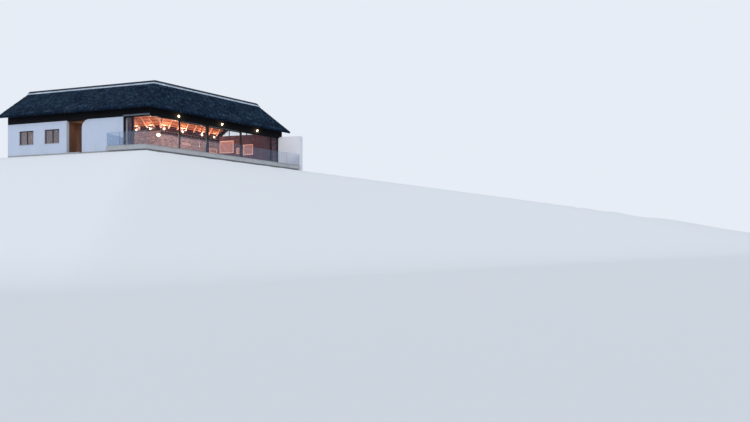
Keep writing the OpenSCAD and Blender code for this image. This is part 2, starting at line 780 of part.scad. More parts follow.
// Framed panels on the right wing's walls: ends along the wall, and bottom and top
panel_frame = 90;
panel_t = 45;
end_panels = [[4960, 6560, 1540, 2820], [2770, 3860, 1260, 2330], [4180, 4630, 1390, 2010]];
back_panels = [[8300, 9130, 1460, 1960], [5420, 6240, 1930, 2110]];
panel_line = right_point(right_end(right_reach, 0), 0)[0];

module framed_panel(p) {
    frame = min(panel_frame, (p[3] - p[2]) / 4);
    difference() {
        cube([p[1] - p[0], panel_t, p[3] - p[2]]);
        translate([frame, -1, frame])
            cube([p[1] - p[0] - 2 * frame, panel_t / 2 + 1, p[3] - p[2] - 2 * frame]);
    }
}

module wall_panels() color("wheat") site() {
    for (p = end_panels)
        translate([panel_line - p[1], right_reach - panel_t, p[2]]) framed_panel(p);
    wing("right") for (p = back_panels) translate([p[0], room_depth - panel_t, p[2]]) framed_panel(p);
}

foundation();
floor_slab();
terrace_slab();
fin_wall();
end_wall_right();
end_wall_left();
back_wall_left();
back_wall_right();
front_wall();
porch_wall();
inner_pier();
window_frames();
gable_frames();
window_glass();
eaves_beam_left();
eaves_beam_right();
wall_plates();
posts();
glazing_frame_left();
glazing_frame_right();
glazing_glass_left();
glazing_glass_right();
door_one_frame();
door_one_glass();
door_two_frame();
door_two_glass();
door_track();
balustrade_channel();
balustrade_glass();
ridge_board();
hip_rafter();
valley_rafter();
rafters_left();
rafters_right();
laths_left();
laths_right();
thatch_left();
thatch_right();
thatch_hip();
ridge_cap();
ridge_flashing();
pelmet();
outside_lamps();
room_lamps();
wall_panels();
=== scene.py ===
import random
from math import atan, cos, hypot, pi, radians, sin, tan

import bmesh
import bpy
import numpy as np
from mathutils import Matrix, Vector, noise


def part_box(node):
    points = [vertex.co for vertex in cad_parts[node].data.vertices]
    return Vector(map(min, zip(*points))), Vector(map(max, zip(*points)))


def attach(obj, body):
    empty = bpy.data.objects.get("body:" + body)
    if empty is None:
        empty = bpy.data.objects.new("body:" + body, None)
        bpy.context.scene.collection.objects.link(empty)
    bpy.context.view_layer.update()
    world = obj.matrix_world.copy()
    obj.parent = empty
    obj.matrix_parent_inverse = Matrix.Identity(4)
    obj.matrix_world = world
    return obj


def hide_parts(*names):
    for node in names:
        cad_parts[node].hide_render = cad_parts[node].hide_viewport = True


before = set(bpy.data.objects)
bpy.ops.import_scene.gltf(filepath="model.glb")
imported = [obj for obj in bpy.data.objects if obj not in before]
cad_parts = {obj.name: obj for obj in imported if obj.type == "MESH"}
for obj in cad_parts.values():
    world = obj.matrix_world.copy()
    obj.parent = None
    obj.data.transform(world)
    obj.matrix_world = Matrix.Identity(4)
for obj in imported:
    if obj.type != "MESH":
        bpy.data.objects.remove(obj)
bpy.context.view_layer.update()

scene = bpy.context.scene
print("frame loaded with", len(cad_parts), "nodes")

# Lines of the house, in metres: s along a wing from the bend, y inland from the sea front, z up from the floor
house = {
    "bendX": 3.23945, "bendY": -4.82, "floorZ": 0.6, "turn": radians(60),
    "ridgeY": 2.48, "ridgeZ": 6.5, "eaveZ": 3.46, "frontOut": 0.8, "backEave": 6.62, "backLine": 3.76,
    "leftVerge": 15.22, "rightVerge": 11.49, "leftRoom": 14.5, "rightRoom": 11.04,
    "roomDepth": 5.7, "wall": 0.27, "beamFront": -0.12, "headZ": 2.8, "terraceZ": -0.13,
    "plateDepth": 0.347, "backWall": 2.95, "margin": 0.01,
}
ridgeY, ridgeZ, roomDepth, rightRoom, margin = (
    house[key] for key in ("ridgeY", "ridgeZ", "roomDepth", "rightRoom", "margin"))
cosTurn, sinTurn = cos(house["turn"]), sin(house["turn"])
mitre = tan(house["turn"] / 2)  # on the line where the wings meet, s is y times this
slopes = {True: (ridgeZ - house["eaveZ"]) / (ridgeY + house["frontOut"]),
    False: (ridgeZ - house["backLine"]) / (roomDepth - ridgeY)}
pitches = {front: atan(rise) for front, rise in slopes.items()}


# A wing's coordinates in the part's frame, for numbers and for arrays
def placed(side, s, y, z):
    x, v = (-s, y) if side == "left" else (s * cosTurn - y * sinTurn, s * sinTurn + y * cosTurn)
    return house["bendX"] + x, house["bendY"] + v, house["floorZ"] + z


def wingPoint(side, s, y, z):
    return Vector(placed(side, s, y, z))


def worldOf(side, points):
    return np.stack(placed(side, points[..., 0], points[..., 1], points[..., 2]), -1)


# Where the right wing reaches an end line that is square to the left wing
def rightEnd(reach, y):
    return (reach - y * cosTurn) / sinTurn


# Methods that do arithmetic with sockets
def operator(operation, flipped=False):
    return lambda self, other: self.maths(operation, *((other, self) if flipped else (self, other)))


# One socket of a finish, so that shader maths reads as an expression
class Wire:
    def __init__(self, finish, socket):
        self.finish, self.socket = finish, socket

    def maths(self, operation, *values):
        return self.finish.node("Math", values, operation=operation)

    def clipped(self):
        return self.atLeast(0).atMost(1)

    __add__ = __radd__ = operator("ADD")
    __mul__ = __rmul__ = operator("MULTIPLY")
    __sub__, __rsub__ = operator("SUBTRACT"), operator("SUBTRACT", True)
    __truediv__, __rtruediv__ = operator("DIVIDE"), operator("DIVIDE", True)
    atLeast, atMost = operator("MAXIMUM"), operator("MINIMUM")


# A material, or a world, with its nodes; one method makes any of them
class Finish:
    def __init__(self, name, world=None, **plain):
        self.material = world or bpy.data.materials.new(name)
        self.material.use_nodes = True
        self.tree = self.material.node_tree
        self.shader = self.tree.nodes.get("Principled BSDF")
        for socket, value in plain.items():
            self.feed(socket, value)

    def put(self, target, value):
        if isinstance(value, Wire):
            self.tree.links.new(value.socket, target)
        elif target.type == "RGBA":
            target.default_value = (*value[:3], 1)
        else:
            target.default_value = value

    def node(self, kind, values=(), out=0, **settings):
        made = self.tree.nodes.new("ShaderNode" + kind)
        for name, value in settings.items():
            if name == "stops":
                ramp = made.color_ramp.elements
                while len(ramp) < len(value):
                    ramp.new(0.5)
                for stop, (at, colour) in zip(ramp, value):
                    stop.position, stop.color = at, (*colour, 1)
            else:
                setattr(made, name, value)
        for key, value in values.items() if isinstance(values, dict) else enumerate(values):
            self.put(made.inputs[key], value)
        return Wire(self, made.outputs[out]) if len(made.outputs) else None

    def feed(self, socket, value):
        self.put(self.shader.inputs[socket.replace("_", " ")], value)
        return self

    def blend(self, factor, a, b):
        return self.node("Mix", {0: factor, 6: a, 7: b}, 2, data_type="RGBA")

    # Object coordinates turned to lie along a wing
    def place(self, side="left"):
        turn = -house["turn"] if side == "right" else 0
        spot = self.node("TexCoord", out="Object")
        move = (-house["bendX"], -house["bendY"], -house["floorZ"])
        moved = self.node("Mapping", {"Vector": spot, "Location": move})
        return self.node("Mapping", {"Vector": moved, "Rotation": (0, 0, turn)})

    def part(self, vector, axis):
        return self.node("SeparateXYZ", [vector], axis)

    def noise(self, vector, scale, detail=3, stretch=(1, 1, 1), rough=0.5):
        stretched = self.node("VectorMath", [vector, stretch], operation="MULTIPLY")
        return self.node("TexNoise", {"Vector": stretched, "Scale": scale, "Detail": detail, "Roughness": rough})

    def ramp(self, factor, stops):
        return self.node("ValToRGB", [factor], stops=stops)

    # 0 at low, 1 at high and even between them
    def spread(self, value, low, high):
        return ((value - low) / (high - low)).clipped()

    # The tone that each brick or reed carries
    def ownTone(self):
        return self.node("Attribute", out="Fac", attribute_name="tone")

    def bump(self, height, distance, strength=1.0):
        return self.feed("Normal", self.node("Bump", {
            "Strength": strength, "Distance": distance, "Height": height}))


# Thatch and straw are mapped along the wing and down the slope, in metres
def reedFinish(name, tones, look):
    made = Finish(name, Roughness=look["rough"], Specular_IOR_Level=look["gloss"])
    spot = made.node("UVMap", uv_map="reedMap")
    reeds = made.noise(spot, look["reeds"], 4, look["stretch"], 0.65)
    tufts = made.noise(spot, look["tufts"], 4, look["tuftStretch"], 0.65)
    patches = made.noise(spot, look["patches"], 4, (1, 0.7, 1), 0.55)
    mixed = reeds * 0.2 + tufts * 0.52 + patches * 0.18 + made.ownTone() * look["toneShare"]
    colour = made.ramp(made.spread(mixed, look["low"], look["high"]), tones)
    weather = made.spread(made.noise(spot, look["weather"], 2, (1, 0.25, 1)), 0.45, 0.72)
    made.feed("Base_Color", made.blend(weather * look["weatherShare"], colour, look["weatherColour"]))
    return made.bump(reeds * 0.6 + tufts * 0.8, look["relief"], 0.9)


thatchFinish = reedFinish("weatheredThatch", (
    (0.0, (0.002, 0.005, 0.013)), (0.4, (0.005, 0.013, 0.03)), (0.7, (0.01, 0.026, 0.052)),
    (1.0, (0.04, 0.07, 0.115))), {
    "rough": 0.95, "gloss": 0.05, "reeds": 24, "stretch": (1, 0.14, 1), "tufts": 5, "tuftStretch": (1, 0.45, 1),
    "patches": 0.9, "low": 0.46, "high": 0.64, "toneShare": 0.2, "weather": 1.2, "weatherShare": 0.3,
    "weatherColour": (0.012, 0.024, 0.034), "relief": 0.03,
})
strawFinish = reedFinish("roomSideStraw", (
    (0.0, (0.33, 0.1, 0.06)), (0.45, (0.59, 0.225, 0.13)), (1.0, (0.79, 0.4, 0.28))), {
    "rough": 0.85, "gloss": 0.2, "reeds": 34, "stretch": (1, 0.06, 1), "tufts": 7, "tuftStretch": (1, 0.5, 1),
    "patches": 1.1, "low": 0.34, "high": 0.7, "toneShare": 0.1, "weather": 1.7, "weatherShare": 0.3,
    "weatherColour": (0.48, 0.16, 0.07), "relief": 0.012,
})


# Plaster is stained in streaks and at its foot
def plasterFinish(name, colour, stain):
    made = Finish(name, Roughness=0.78, Specular_IOR_Level=0.25)
    spot = made.place()
    cloud = made.noise(spot, 0.9, 5, (1, 1, 0.6), 0.6)
    streaks = made.noise(spot, 3.5, 4, (1, 1, 0.12), 0.6)
    foot = 1 - made.spread(made.part(spot, 2), -0.35, 0.25)
    worn = made.spread(cloud * 0.55 + streaks * 0.45, 0.46, 0.72) * 0.32 + foot * 0.35
    made.feed("Base_Color", made.blend(worn, colour, stain))
    trowel = made.noise(spot, 5, 5, rough=0.6) * 0.7 + made.noise(spot, 60, 2) * 0.3
    return made.bump(trowel, 0.006, 0.6)


# Painted shade and light: one white plaster in two copies, darker for the walls in shade under the eaves and
# lighter for the better-lit fin wall
shadedPlaster = plasterFinish("shadedWhitePlaster", (0.5, 0.56, 0.69), (0.36, 0.4, 0.48))
litFinPlaster = plasterFinish("litFinPlaster", (0.7, 0.71, 0.77), (0.5, 0.51, 0.55))
roomPlaster = plasterFinish("roomPlaster", (0.92, 0.8, 0.78), (0.74, 0.6, 0.58))


# Painted, screeded and metal surfaces: a second colour in patches and a fine relief
def surface(name, colour, second, rough, scale, stretch=(1, 1, 1), relief=0.002, metal=0.0, gloss=0.5):
    made = Finish(name, Metallic=metal, Specular_IOR_Level=gloss)
    spot = made.place()
    patches = made.noise(spot, scale, 5, stretch, 0.6)
    fine = made.noise(spot, scale * 9, 3, stretch, 0.6)
    share = made.spread(patches * 0.65 + fine * 0.35, 0.36, 0.66)
    made.feed("Base_Color", made.blend(share, colour, second))
    made.feed("Roughness", rough[0] + share * (rough[1] - rough[0]))
    return made.bump(fine * 0.6 + patches * 0.4, relief, 0.7)


blackFrame = surface("blackFrames", (0.004, 0.004, 0.006), (0.01, 0.01, 0.013), (0.4, 0.55), 6, gloss=0.2)
blackBeam = surface(
    "blackBoards", (0.003, 0.003, 0.005), (0.008, 0.008, 0.01), (0.7, 0.9), 3, (0.25, 1, 6), 0.003, gloss=0.12)
# partly painted shade: this dark purple stands partly for the shade at the top of the back walls, over the plate's
# own dark timber
darkTimberAndShade = surface(
    "darkPlateAndShade", (0.022, 0.012, 0.022), (0.052, 0.028, 0.045), (0.6, 0.8), 5, (0.3, 1, 5), gloss=0.2)
footing = surface("footingConcrete", (0.2, 0.2, 0.21), (0.31, 0.31, 0.32), (0.8, 0.95), 2.5, relief=0.006)
terraceStone = surface("terraceConcrete", (0.3, 0.31, 0.33), (0.42, 0.43, 0.45), (0.7, 0.9), 2, relief=0.004)
paverStone = surface("terracePavers", (0.34, 0.35, 0.37), (0.5, 0.5, 0.51), (0.65, 0.85), 3, relief=0.004)
screed = surface(
    "floorScreed", (0.23, 0.225, 0.22), (0.35, 0.34, 0.33), (0.5, 0.7), 1.2, relief=0.001, gloss=0.25)
trackMetal = surface(
    "trackMetal", (0.26, 0.27, 0.28), (0.36, 0.37, 0.38), (0.3, 0.5), 9, (0.2, 1, 1), 0.001, metal=0.8)
steel = surface(
    "brushedSteel", (0.45, 0.46, 0.47), (0.6, 0.6, 0.6), (0.22, 0.38), 30, (1, 1, 0.1), 0.0005, metal=1.0)
# Partly painted light: the cap's dark crest stands partly for painted shade, and the flashing's pale blue partly
# for a painted reflection of the sky
ridgeCapAndShade = surface(
    "ridgeCap", (0.01, 0.016, 0.028), (0.03, 0.04, 0.06), (0.7, 0.9), 5, relief=0.004, gloss=0.15)
ridgeFlashingAndSkyReflection = surface("ridgeFlashing", (0.24, 0.3, 0.4), (0.56, 0.63, 0.74), (0.4, 0.65), 1.6, relief=0.003)
pelmetPale = surface(
    "pelmetPaint", (0.07, 0.1, 0.13), (0.15, 0.18, 0.22), (0.5, 0.7), 4, (0.4, 1, 1), gloss=0.25)
panelPale = surface("panelFrames", (0.8, 0.55, 0.5), (0.92, 0.71, 0.66), (0.4, 0.6), 8, (1, 1, 0.3), 0.001)
panelField = surface("panelFields", (0.42, 0.2, 0.185), (0.6, 0.34, 0.32), (0.5, 0.75), 3)
mortar = surface("mortar", (0.09, 0.055, 0.07), (0.15, 0.09, 0.11), (0.85, 0.95), 6, relief=0.003)
glassEdge = surface("polishedGlassEdge", (0.08, 0.14, 0.17), (0.17, 0.25, 0.29), (0.12, 0.25), 12, relief=0.0003)


# Wood: pale inside, painted black as shade where it runs out past the walls under the eaves
def woodFinish(name, dark, pale, side, front=-0.1, back=5.9, grain=(1, 0.06, 0.06)):
    made = Finish(name, Specular_IOR_Level=0.3)
    spot = made.place(side)
    lines = made.noise(spot, 38, 4, grain, 0.6)
    tone = made.noise(spot, 2.2, 2, (1, 0.2, 0.2))
    colour = made.blend(made.spread(lines * 0.6 + tone * 0.4, 0.36, 0.64), dark, pale)
    inland = made.part(spot, 1)
    # painted shade: black over the parts outside the walls, which lie unlit under the eaves
    outside = made.spread(inland, front, front - 0.02) + made.spread(inland, back, back + 0.02)
    made.feed("Base_Color", made.blend(outside.clipped(), colour, (0.01, 0.01, 0.011)))
    made.feed("Roughness", 0.55 + lines * 0.25)
    return made.bump(lines, 0.003, 0.7)


poleWood, lathWood = {}, {}
for side in ("left", "right"):
    poleWood[side] = woodFinish("pole" + side.title(), (0.5, 0.24, 0.17), (0.78, 0.46, 0.35), side)
    lathWood[side] = woodFinish("lath" + side.title(), (0.14, 0.03, 0.024), (0.28, 0.07, 0.045), side,
        grain=(0.06, 1, 1))
porchWood = woodFinish("porchBoards", (0.085, 0.04, 0.026), (0.19, 0.095, 0.06), "left", -5, 9, (1, 1, 0.05))


# Bricks take a tone each, and courses gather into bands
def brickFinish(name, bands, tones):
    made = Finish(name, Roughness=0.82, Specular_IOR_Level=0.25)
    spot = made.place()
    face = made.noise(spot, 22, 4, rough=0.65)
    layers = made.noise(spot, 2.4, 3, (0.04, 0.04, 2))
    share = made.ownTone() * 0.5 + layers * bands + face * 0.25
    made.feed("Base_Color", made.ramp(made.spread(share, 0.15, 0.9), tones))
    return made.bump(face, 0.005, 0.8)


redBrick = brickFinish("darkRedBrick", 0.6, (
    (0.0, (0.04, 0.03, 0.062)), (0.4, (0.074, 0.05, 0.092)), (0.75, (0.16, 0.062, 0.084)),
    (1.0, (0.125, 0.092, 0.145))))
tanBrick = brickFinish("tanBrick", 0.5, (
    (0.0, (0.14, 0.09, 0.1)), (0.45, (0.25, 0.165, 0.165)), (0.8, (0.38, 0.27, 0.265)),
    (1.0, (0.46, 0.35, 0.35))))


# Clear glass, with more gloss at a low angle and salt marks that run down it; its film colour is the pane's tint,
# and on the rail glass a painted reflection of the sky
def glassFinish(name, clear, filmAndPaintedReflection, least, most, salt):
    made = Finish(name, Specular_IOR_Level=0.6)
    runs = made.spread(made.noise(made.place(), 7, 4, (1, 1, 0.18), 0.6), 0.5, 0.75)
    made.feed("Base_Color", made.blend(runs * 0.4, filmAndPaintedReflection, (0.62, 0.66, 0.72)))
    made.feed("Roughness", 0.03 + runs * 0.15)
    through = made.node("BsdfTransparent", {"Color": clear})
    angle = made.node("Fresnel", {"IOR": 1.45})
    share = (least + angle * most + runs * salt).clipped()
    solid = Wire(made, made.shader.outputs[0])
    mixed = made.node("MixShader", {0: share, 1: through, 2: solid})
    made.put(made.tree.nodes["Material Output"].inputs[0], mixed)
    return made


clearGlass = glassFinish("clearGlass", (0.98, 0.985, 0.99), (0.1, 0.13, 0.18), 0.02, 0.5, 0.015)
# painted reflection: the rail glass's blue film colour stands for the sky reflected in it
railGlass = glassFinish("railGlass", (0.955, 0.97, 0.985), (0.27, 0.41, 0.64), 0.045, 0.35, 0.04)


def glowFinish(name, colour, strength):
    made = Finish(name, Base_Color=(0.9, 0.85, 0.75), Roughness=0.3, Emission_Strength=strength)
    ribs = made.noise(made.place(), 30, 2)
    return made.feed("Emission_Color", made.blend(ribs * 0.3, colour, (1.0, 0.86, 0.66)))


lampGlow = glowFinish("outsideLampGlass", (1.0, 0.84, 0.55), 5)
roomGlow = glowFinish("roomLampGlass", (1.0, 0.78, 0.46), 2.6)
shadeGlow = glowFinish("opalShades", (1.0, 0.72, 0.3), 7)
print("finishes made:", len(bpy.data.materials))

# Finishes of the CAD nodes that stay
nodeFinishes = (
    (footing, "foundation"), (screed, "floor_slab"), (terraceStone, "terrace_slab"), (litFinPlaster, "fin_wall"),
    (shadedPlaster, "end_wall_left back_wall_left back_wall_right front_wall"), (mortar, "end_wall_right inner_pier"),
    (porchWood, "porch_wall"), (blackBeam, "eaves_beam_left eaves_beam_right"), (darkTimberAndShade, "wall_plates"),
    (blackFrame, "window_frames gable_frames posts glazing_frame_left glazing_frame_right door_one_frame "
    "door_two_frame"),
    (clearGlass, "window_glass glazing_glass_left glazing_glass_right door_one_glass door_two_glass"),
    (railGlass, "balustrade_glass"), (trackMetal, "door_track balustrade_channel"),
    (poleWood["left"], "ridge_board hip_rafter valley_rafter rafters_left"), (poleWood["right"], "rafters_right"),
    (lathWood["left"], "laths_left"), (lathWood["right"], "laths_right"), (ridgeCapAndShade, "ridge_cap"),
    (ridgeFlashingAndSkyReflection, "ridge_flashing"), (pelmetPale, "pelmet"), (panelPale, "wall_panels"),
)
for finish, names in nodeFinishes:
    for name in names.split():
        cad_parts[name].data.materials.clear()
        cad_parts[name].data.materials.append(finish.material)


def linked(name, data):
    made = bpy.data.objects.new(name, data)
    scene.collection.objects.link(made)
    return made


# Mesh of a piece from its points and faces, riding on its body
def piece(name, points, faces, finish, body="house", tones=None, maps=None, smooth=False, weld=0.0):
    mesh = bpy.data.meshes.new(name)
    mesh.from_pydata([tuple(p) for p in points], [], faces)
    mesh.materials.append(finish.material)
    if tones is not None:
        mesh.attributes.new("tone", "FLOAT", "POINT").data.foreach_set("value", np.array(tones, np.float32))
    corners = np.empty(len(mesh.loops), np.int32)
    mesh.loops.foreach_get("vertex_index", corners)
    for mapName, values in (maps or {}).items():
        layer = mesh.uv_layers.new(name=mapName)
        layer.data.foreach_set("uv", np.array(values, np.float32)[corners].ravel())
    work = bmesh.new()
    work.from_mesh(mesh)
    if weld:
        bmesh.ops.remove_doubles(work, verts=work.verts, dist=weld)
        bmesh.ops.dissolve_degenerate(work, edges=work.edges, dist=weld)
    bmesh.ops.recalc_face_normals(work, faces=work.faces)
    for f in work.faces:
        f.smooth = smooth
    work.to_mesh(mesh)
    work.free()
    made = linked(name, mesh)
    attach(made, body)
    return made


# Faces of a sheet of m by n points
def sheetFaces(m, n, first=0):
    return [(a, a + 1, a + n + 1, a + n) for start in range(first, first + (m - 1) * n, n)
        for a in range(start, start + n - 1)]


# Thatch, with reed ends over its slopes, butts on its cut edges and a fringe
thatch = {
    "thick": 0.2, "column": 0.09, "row": 0.11, "edgeRound": 0.075, "inset": 0.032, "grow": 0.12,
    "hip": 0.325, "valley": 0.3, "valleyRun": 0.8, "ragged": 0.006, "raggedScale": 14,
    "course": 0.34, "courseStep": 0.006, "beyond": 0.6, "mapWidth": 16.5,
    "reach": {"left": house["leftVerge"], "right": 12}, "tuftReach": {"left": house["leftVerge"], "right": 13.6},
    "tuftsPerM2": 120, "tuftLength": (0.12, 0.24), "tuftWidth": (0.022, 0.05), "tuftRise": (0.008, 0.022),
    "tuftTurn": 0.16, "tuftSunk": (0.004, 0.006),
    "endsPerM2": 800, "endSize": (0.012, 0.026), "endRise": (0.004, 0.014),
    "fringePerM": 26, "fringeLength": (0.015, 0.05), "fringeWidth": (0.006, 0.014), "clear": 0.02,
    "unevenness": {"drift": (0.8, 9, 0.12), "swell": (0.9, 0, 0.01), "lumps": (5.5, 3, 0.007),
    "under": (4, 5, 0.004)}, "leastLift": 0.15,
    "tuftFrom": (-0.4, 0.3), "tuftEdges": (0.04, 0.03), "tuftBack": 0.012, "endSunk": 0.004, "fringeDrift": 0.01,
    "across": {True: ridgeY + house["frontOut"], False: house["backEave"] - ridgeY},
    "bands": {True: (0.64, 1.0, 0.13), False: (0.27, 0.62, 0.0)},
}
# Straw under the thatch over the rooms, and the room that the thatch leaves for it
ceiling = {
    "depth": 0.196, "thick": 0.01, "front": 0.05, "back": 5.85, "column": 0.045, "row": 0.3, "reeds": 0.0035,
    "room": 0.013, "fade": 0.06, "length": {"left": 14, "right": 11.5}, "gap": 0.02, "tone": 0.5,
}


# The lesser of two heights, rounded where they meet
def softLeast(a, b, reach):
    h = np.clip(0.5 + 0.5 * (b - a) / reach, 0, 1)
    return b + (a - b) * h - reach * h * (1 - h)


# Height of the thatch; the wings' slopes round into each other over the hip and in the valley
def roofHeight(s, y, front):
    other = s * sinTurn + y * cosTurn  # inland distance in the other wing
    if front:
        return softLeast(ridgeZ - (ridgeY - y) * slopes[True],
            ridgeZ - (ridgeY - other) * slopes[True], thatch["hip"])
    reach = np.clip((y - ridgeY) / thatch["valleyRun"], 0.02, 1) * thatch["valley"]
    return -softLeast(-ridgeZ + (y - ridgeY) * slopes[False], -ridgeZ + (other - ridgeY) * slopes[False], reach)


# Inland distance at which the roof reaches a height, on the lines s or where the wings meet
def contour(z, front, s=None):
    shape = 0 * (z if s is None else s)
    low = shape + (-house["frontOut"] - thatch["beyond"] if front else ridgeY)
    high = shape + (ridgeY if front else house["backEave"] + thatch["beyond"])
    for _ in range(30):
        middle = (low + high) / 2
        above = roofHeight(middle * mitre if s is None else s, middle, front) > z
        low, high = np.where(above != front, middle, low), np.where(above != front, high, middle)
    return (low + high) / 2


# Outward directions of the roof surface, in wing coordinates
def roofNormal(s, y, front, step=0.01):
    ds = (roofHeight(s + step, y, front) - roofHeight(s - step, y, front)) / (2 * step)
    dy = (roofHeight(s, y + step, front) - roofHeight(s, y - step, front)) / (2 * step)
    return np.stack([-ds, -dy, 1 + 0 * ds], -1) / np.sqrt(ds ** 2 + dy ** 2 + 1)[..., None]


def lumpy(points, scale, seed):
    flat = points.reshape(-1, 3) * scale + seed
    return np.array([noise.noise(Vector(p)) for p in flat]).reshape(points.shape[:-1])


def vergeOf(side, y):
    if side == "left":
        return house["leftVerge"] - thatch["inset"] + 0 * y
    return rightEnd(house["rightVerge"] - thatch["inset"], y)


# Directions down the slope and out along the wing, in wing coordinates
def downhill(front):
    return np.array([0, cos(pitches[front]) * (-1 if front else 1), -sin(pitches[front])])


outAlong = {"left": np.array([1.0, 0, 0]), "right": np.array([sinTurn, cosTurn, 0])}


# Rows down the slope and columns along the wing, closer together at the cut edges
def slopeGrid(side, front, length):
    near = np.array([0.75, 0.5, 0.25, 0]) * thatch["edgeRound"]
    rows = np.append(np.linspace(0, length - thatch["edgeRound"], int(length / thatch["row"])), length - near)
    z = ridgeZ - rows[:, None] * sin(pitches[front])
    start = contour(z, front) * mitre
    end = vergeOf(side, ridgeY + rows[:, None] * downhill(front)[1])
    share = np.linspace(0, 1, int((thatch["reach"][side] - 1.5) / thatch["column"]))[:-1]
    s = np.concatenate([start + share * (end - thatch["edgeRound"] - start), end - near], 1)
    return rows, s, contour(z, front, s)


def edgeDrop(gap):
    r = thatch["edgeRound"]
    inner = np.clip(r - gap, 0, r)
    return r - np.sqrt(np.maximum(r * r - inner * inner, 0))


# One closed slope: face, underside, eave, verge, mitre and ridge, as sheets with their places along and down it
def thatchSlope(side, front, seed, length):
    rows, s, y = slopeGrid(side, front, length)
    out = roofNormal(s, y, front)
    base = np.stack([s, y, roofHeight(s, y, front)], -1)
    world = worldOf(side, base)
    vergeGap = (vergeOf(side, y) - s) * (sinTurn if side == "right" else 1)
    down = rows[:, None] + 0 * s
    eaveGap = length - down
    away = np.clip(np.minimum(vergeGap, eaveGap) / thatch["grow"], thatch["leastLift"], 1)

    def uneven(kind):
        scale, shift, height = thatch["unevenness"][kind]
        return lumpy(world, scale, seed + shift) * height

    course = ((down + uneven("drift")) / thatch["course"]) % 1
    lift = (uneven("swell") + uneven("lumps") + course * thatch["courseStep"]) * away
    depth = np.maximum(edgeDrop(vergeGap), edgeDrop(eaveGap))
    top = base - out * (depth - lift)[..., None]
    overRooms = np.clip(np.minimum(y - ceiling["front"], ceiling["back"] - y) / ceiling["fade"] + 1, 0, 1)
    under = thatch["thick"] - uneven("under") - overRooms * ceiling["room"]
    low = base - out * under[..., None]
    steps = np.linspace(0, 1, 5)[:, None, None]

    def skirt(line, outward, k=None):
        a, b = top[line], low[line]
        strip = a[None] + (b - a)[None] * steps
        if k:
            rough = lumpy(worldOf(side, strip), thatch["raggedScale"], seed + k)[..., None] * thatch["ragged"]
            strip = strip + outward * np.sin(steps * pi) * (thatch["ragged"] + rough)
        return strip, s[line][None] + 0 * steps[..., 0], down[line][None] + steps[..., 0] * thatch["thick"]

    return [(top, s, down), (low, s, down), skirt(-1, downhill(front), 11),
        skirt(np.s_[:, -1], outAlong[side], 13), skirt(np.s_[:, 0], 0), skirt(0, 0)]


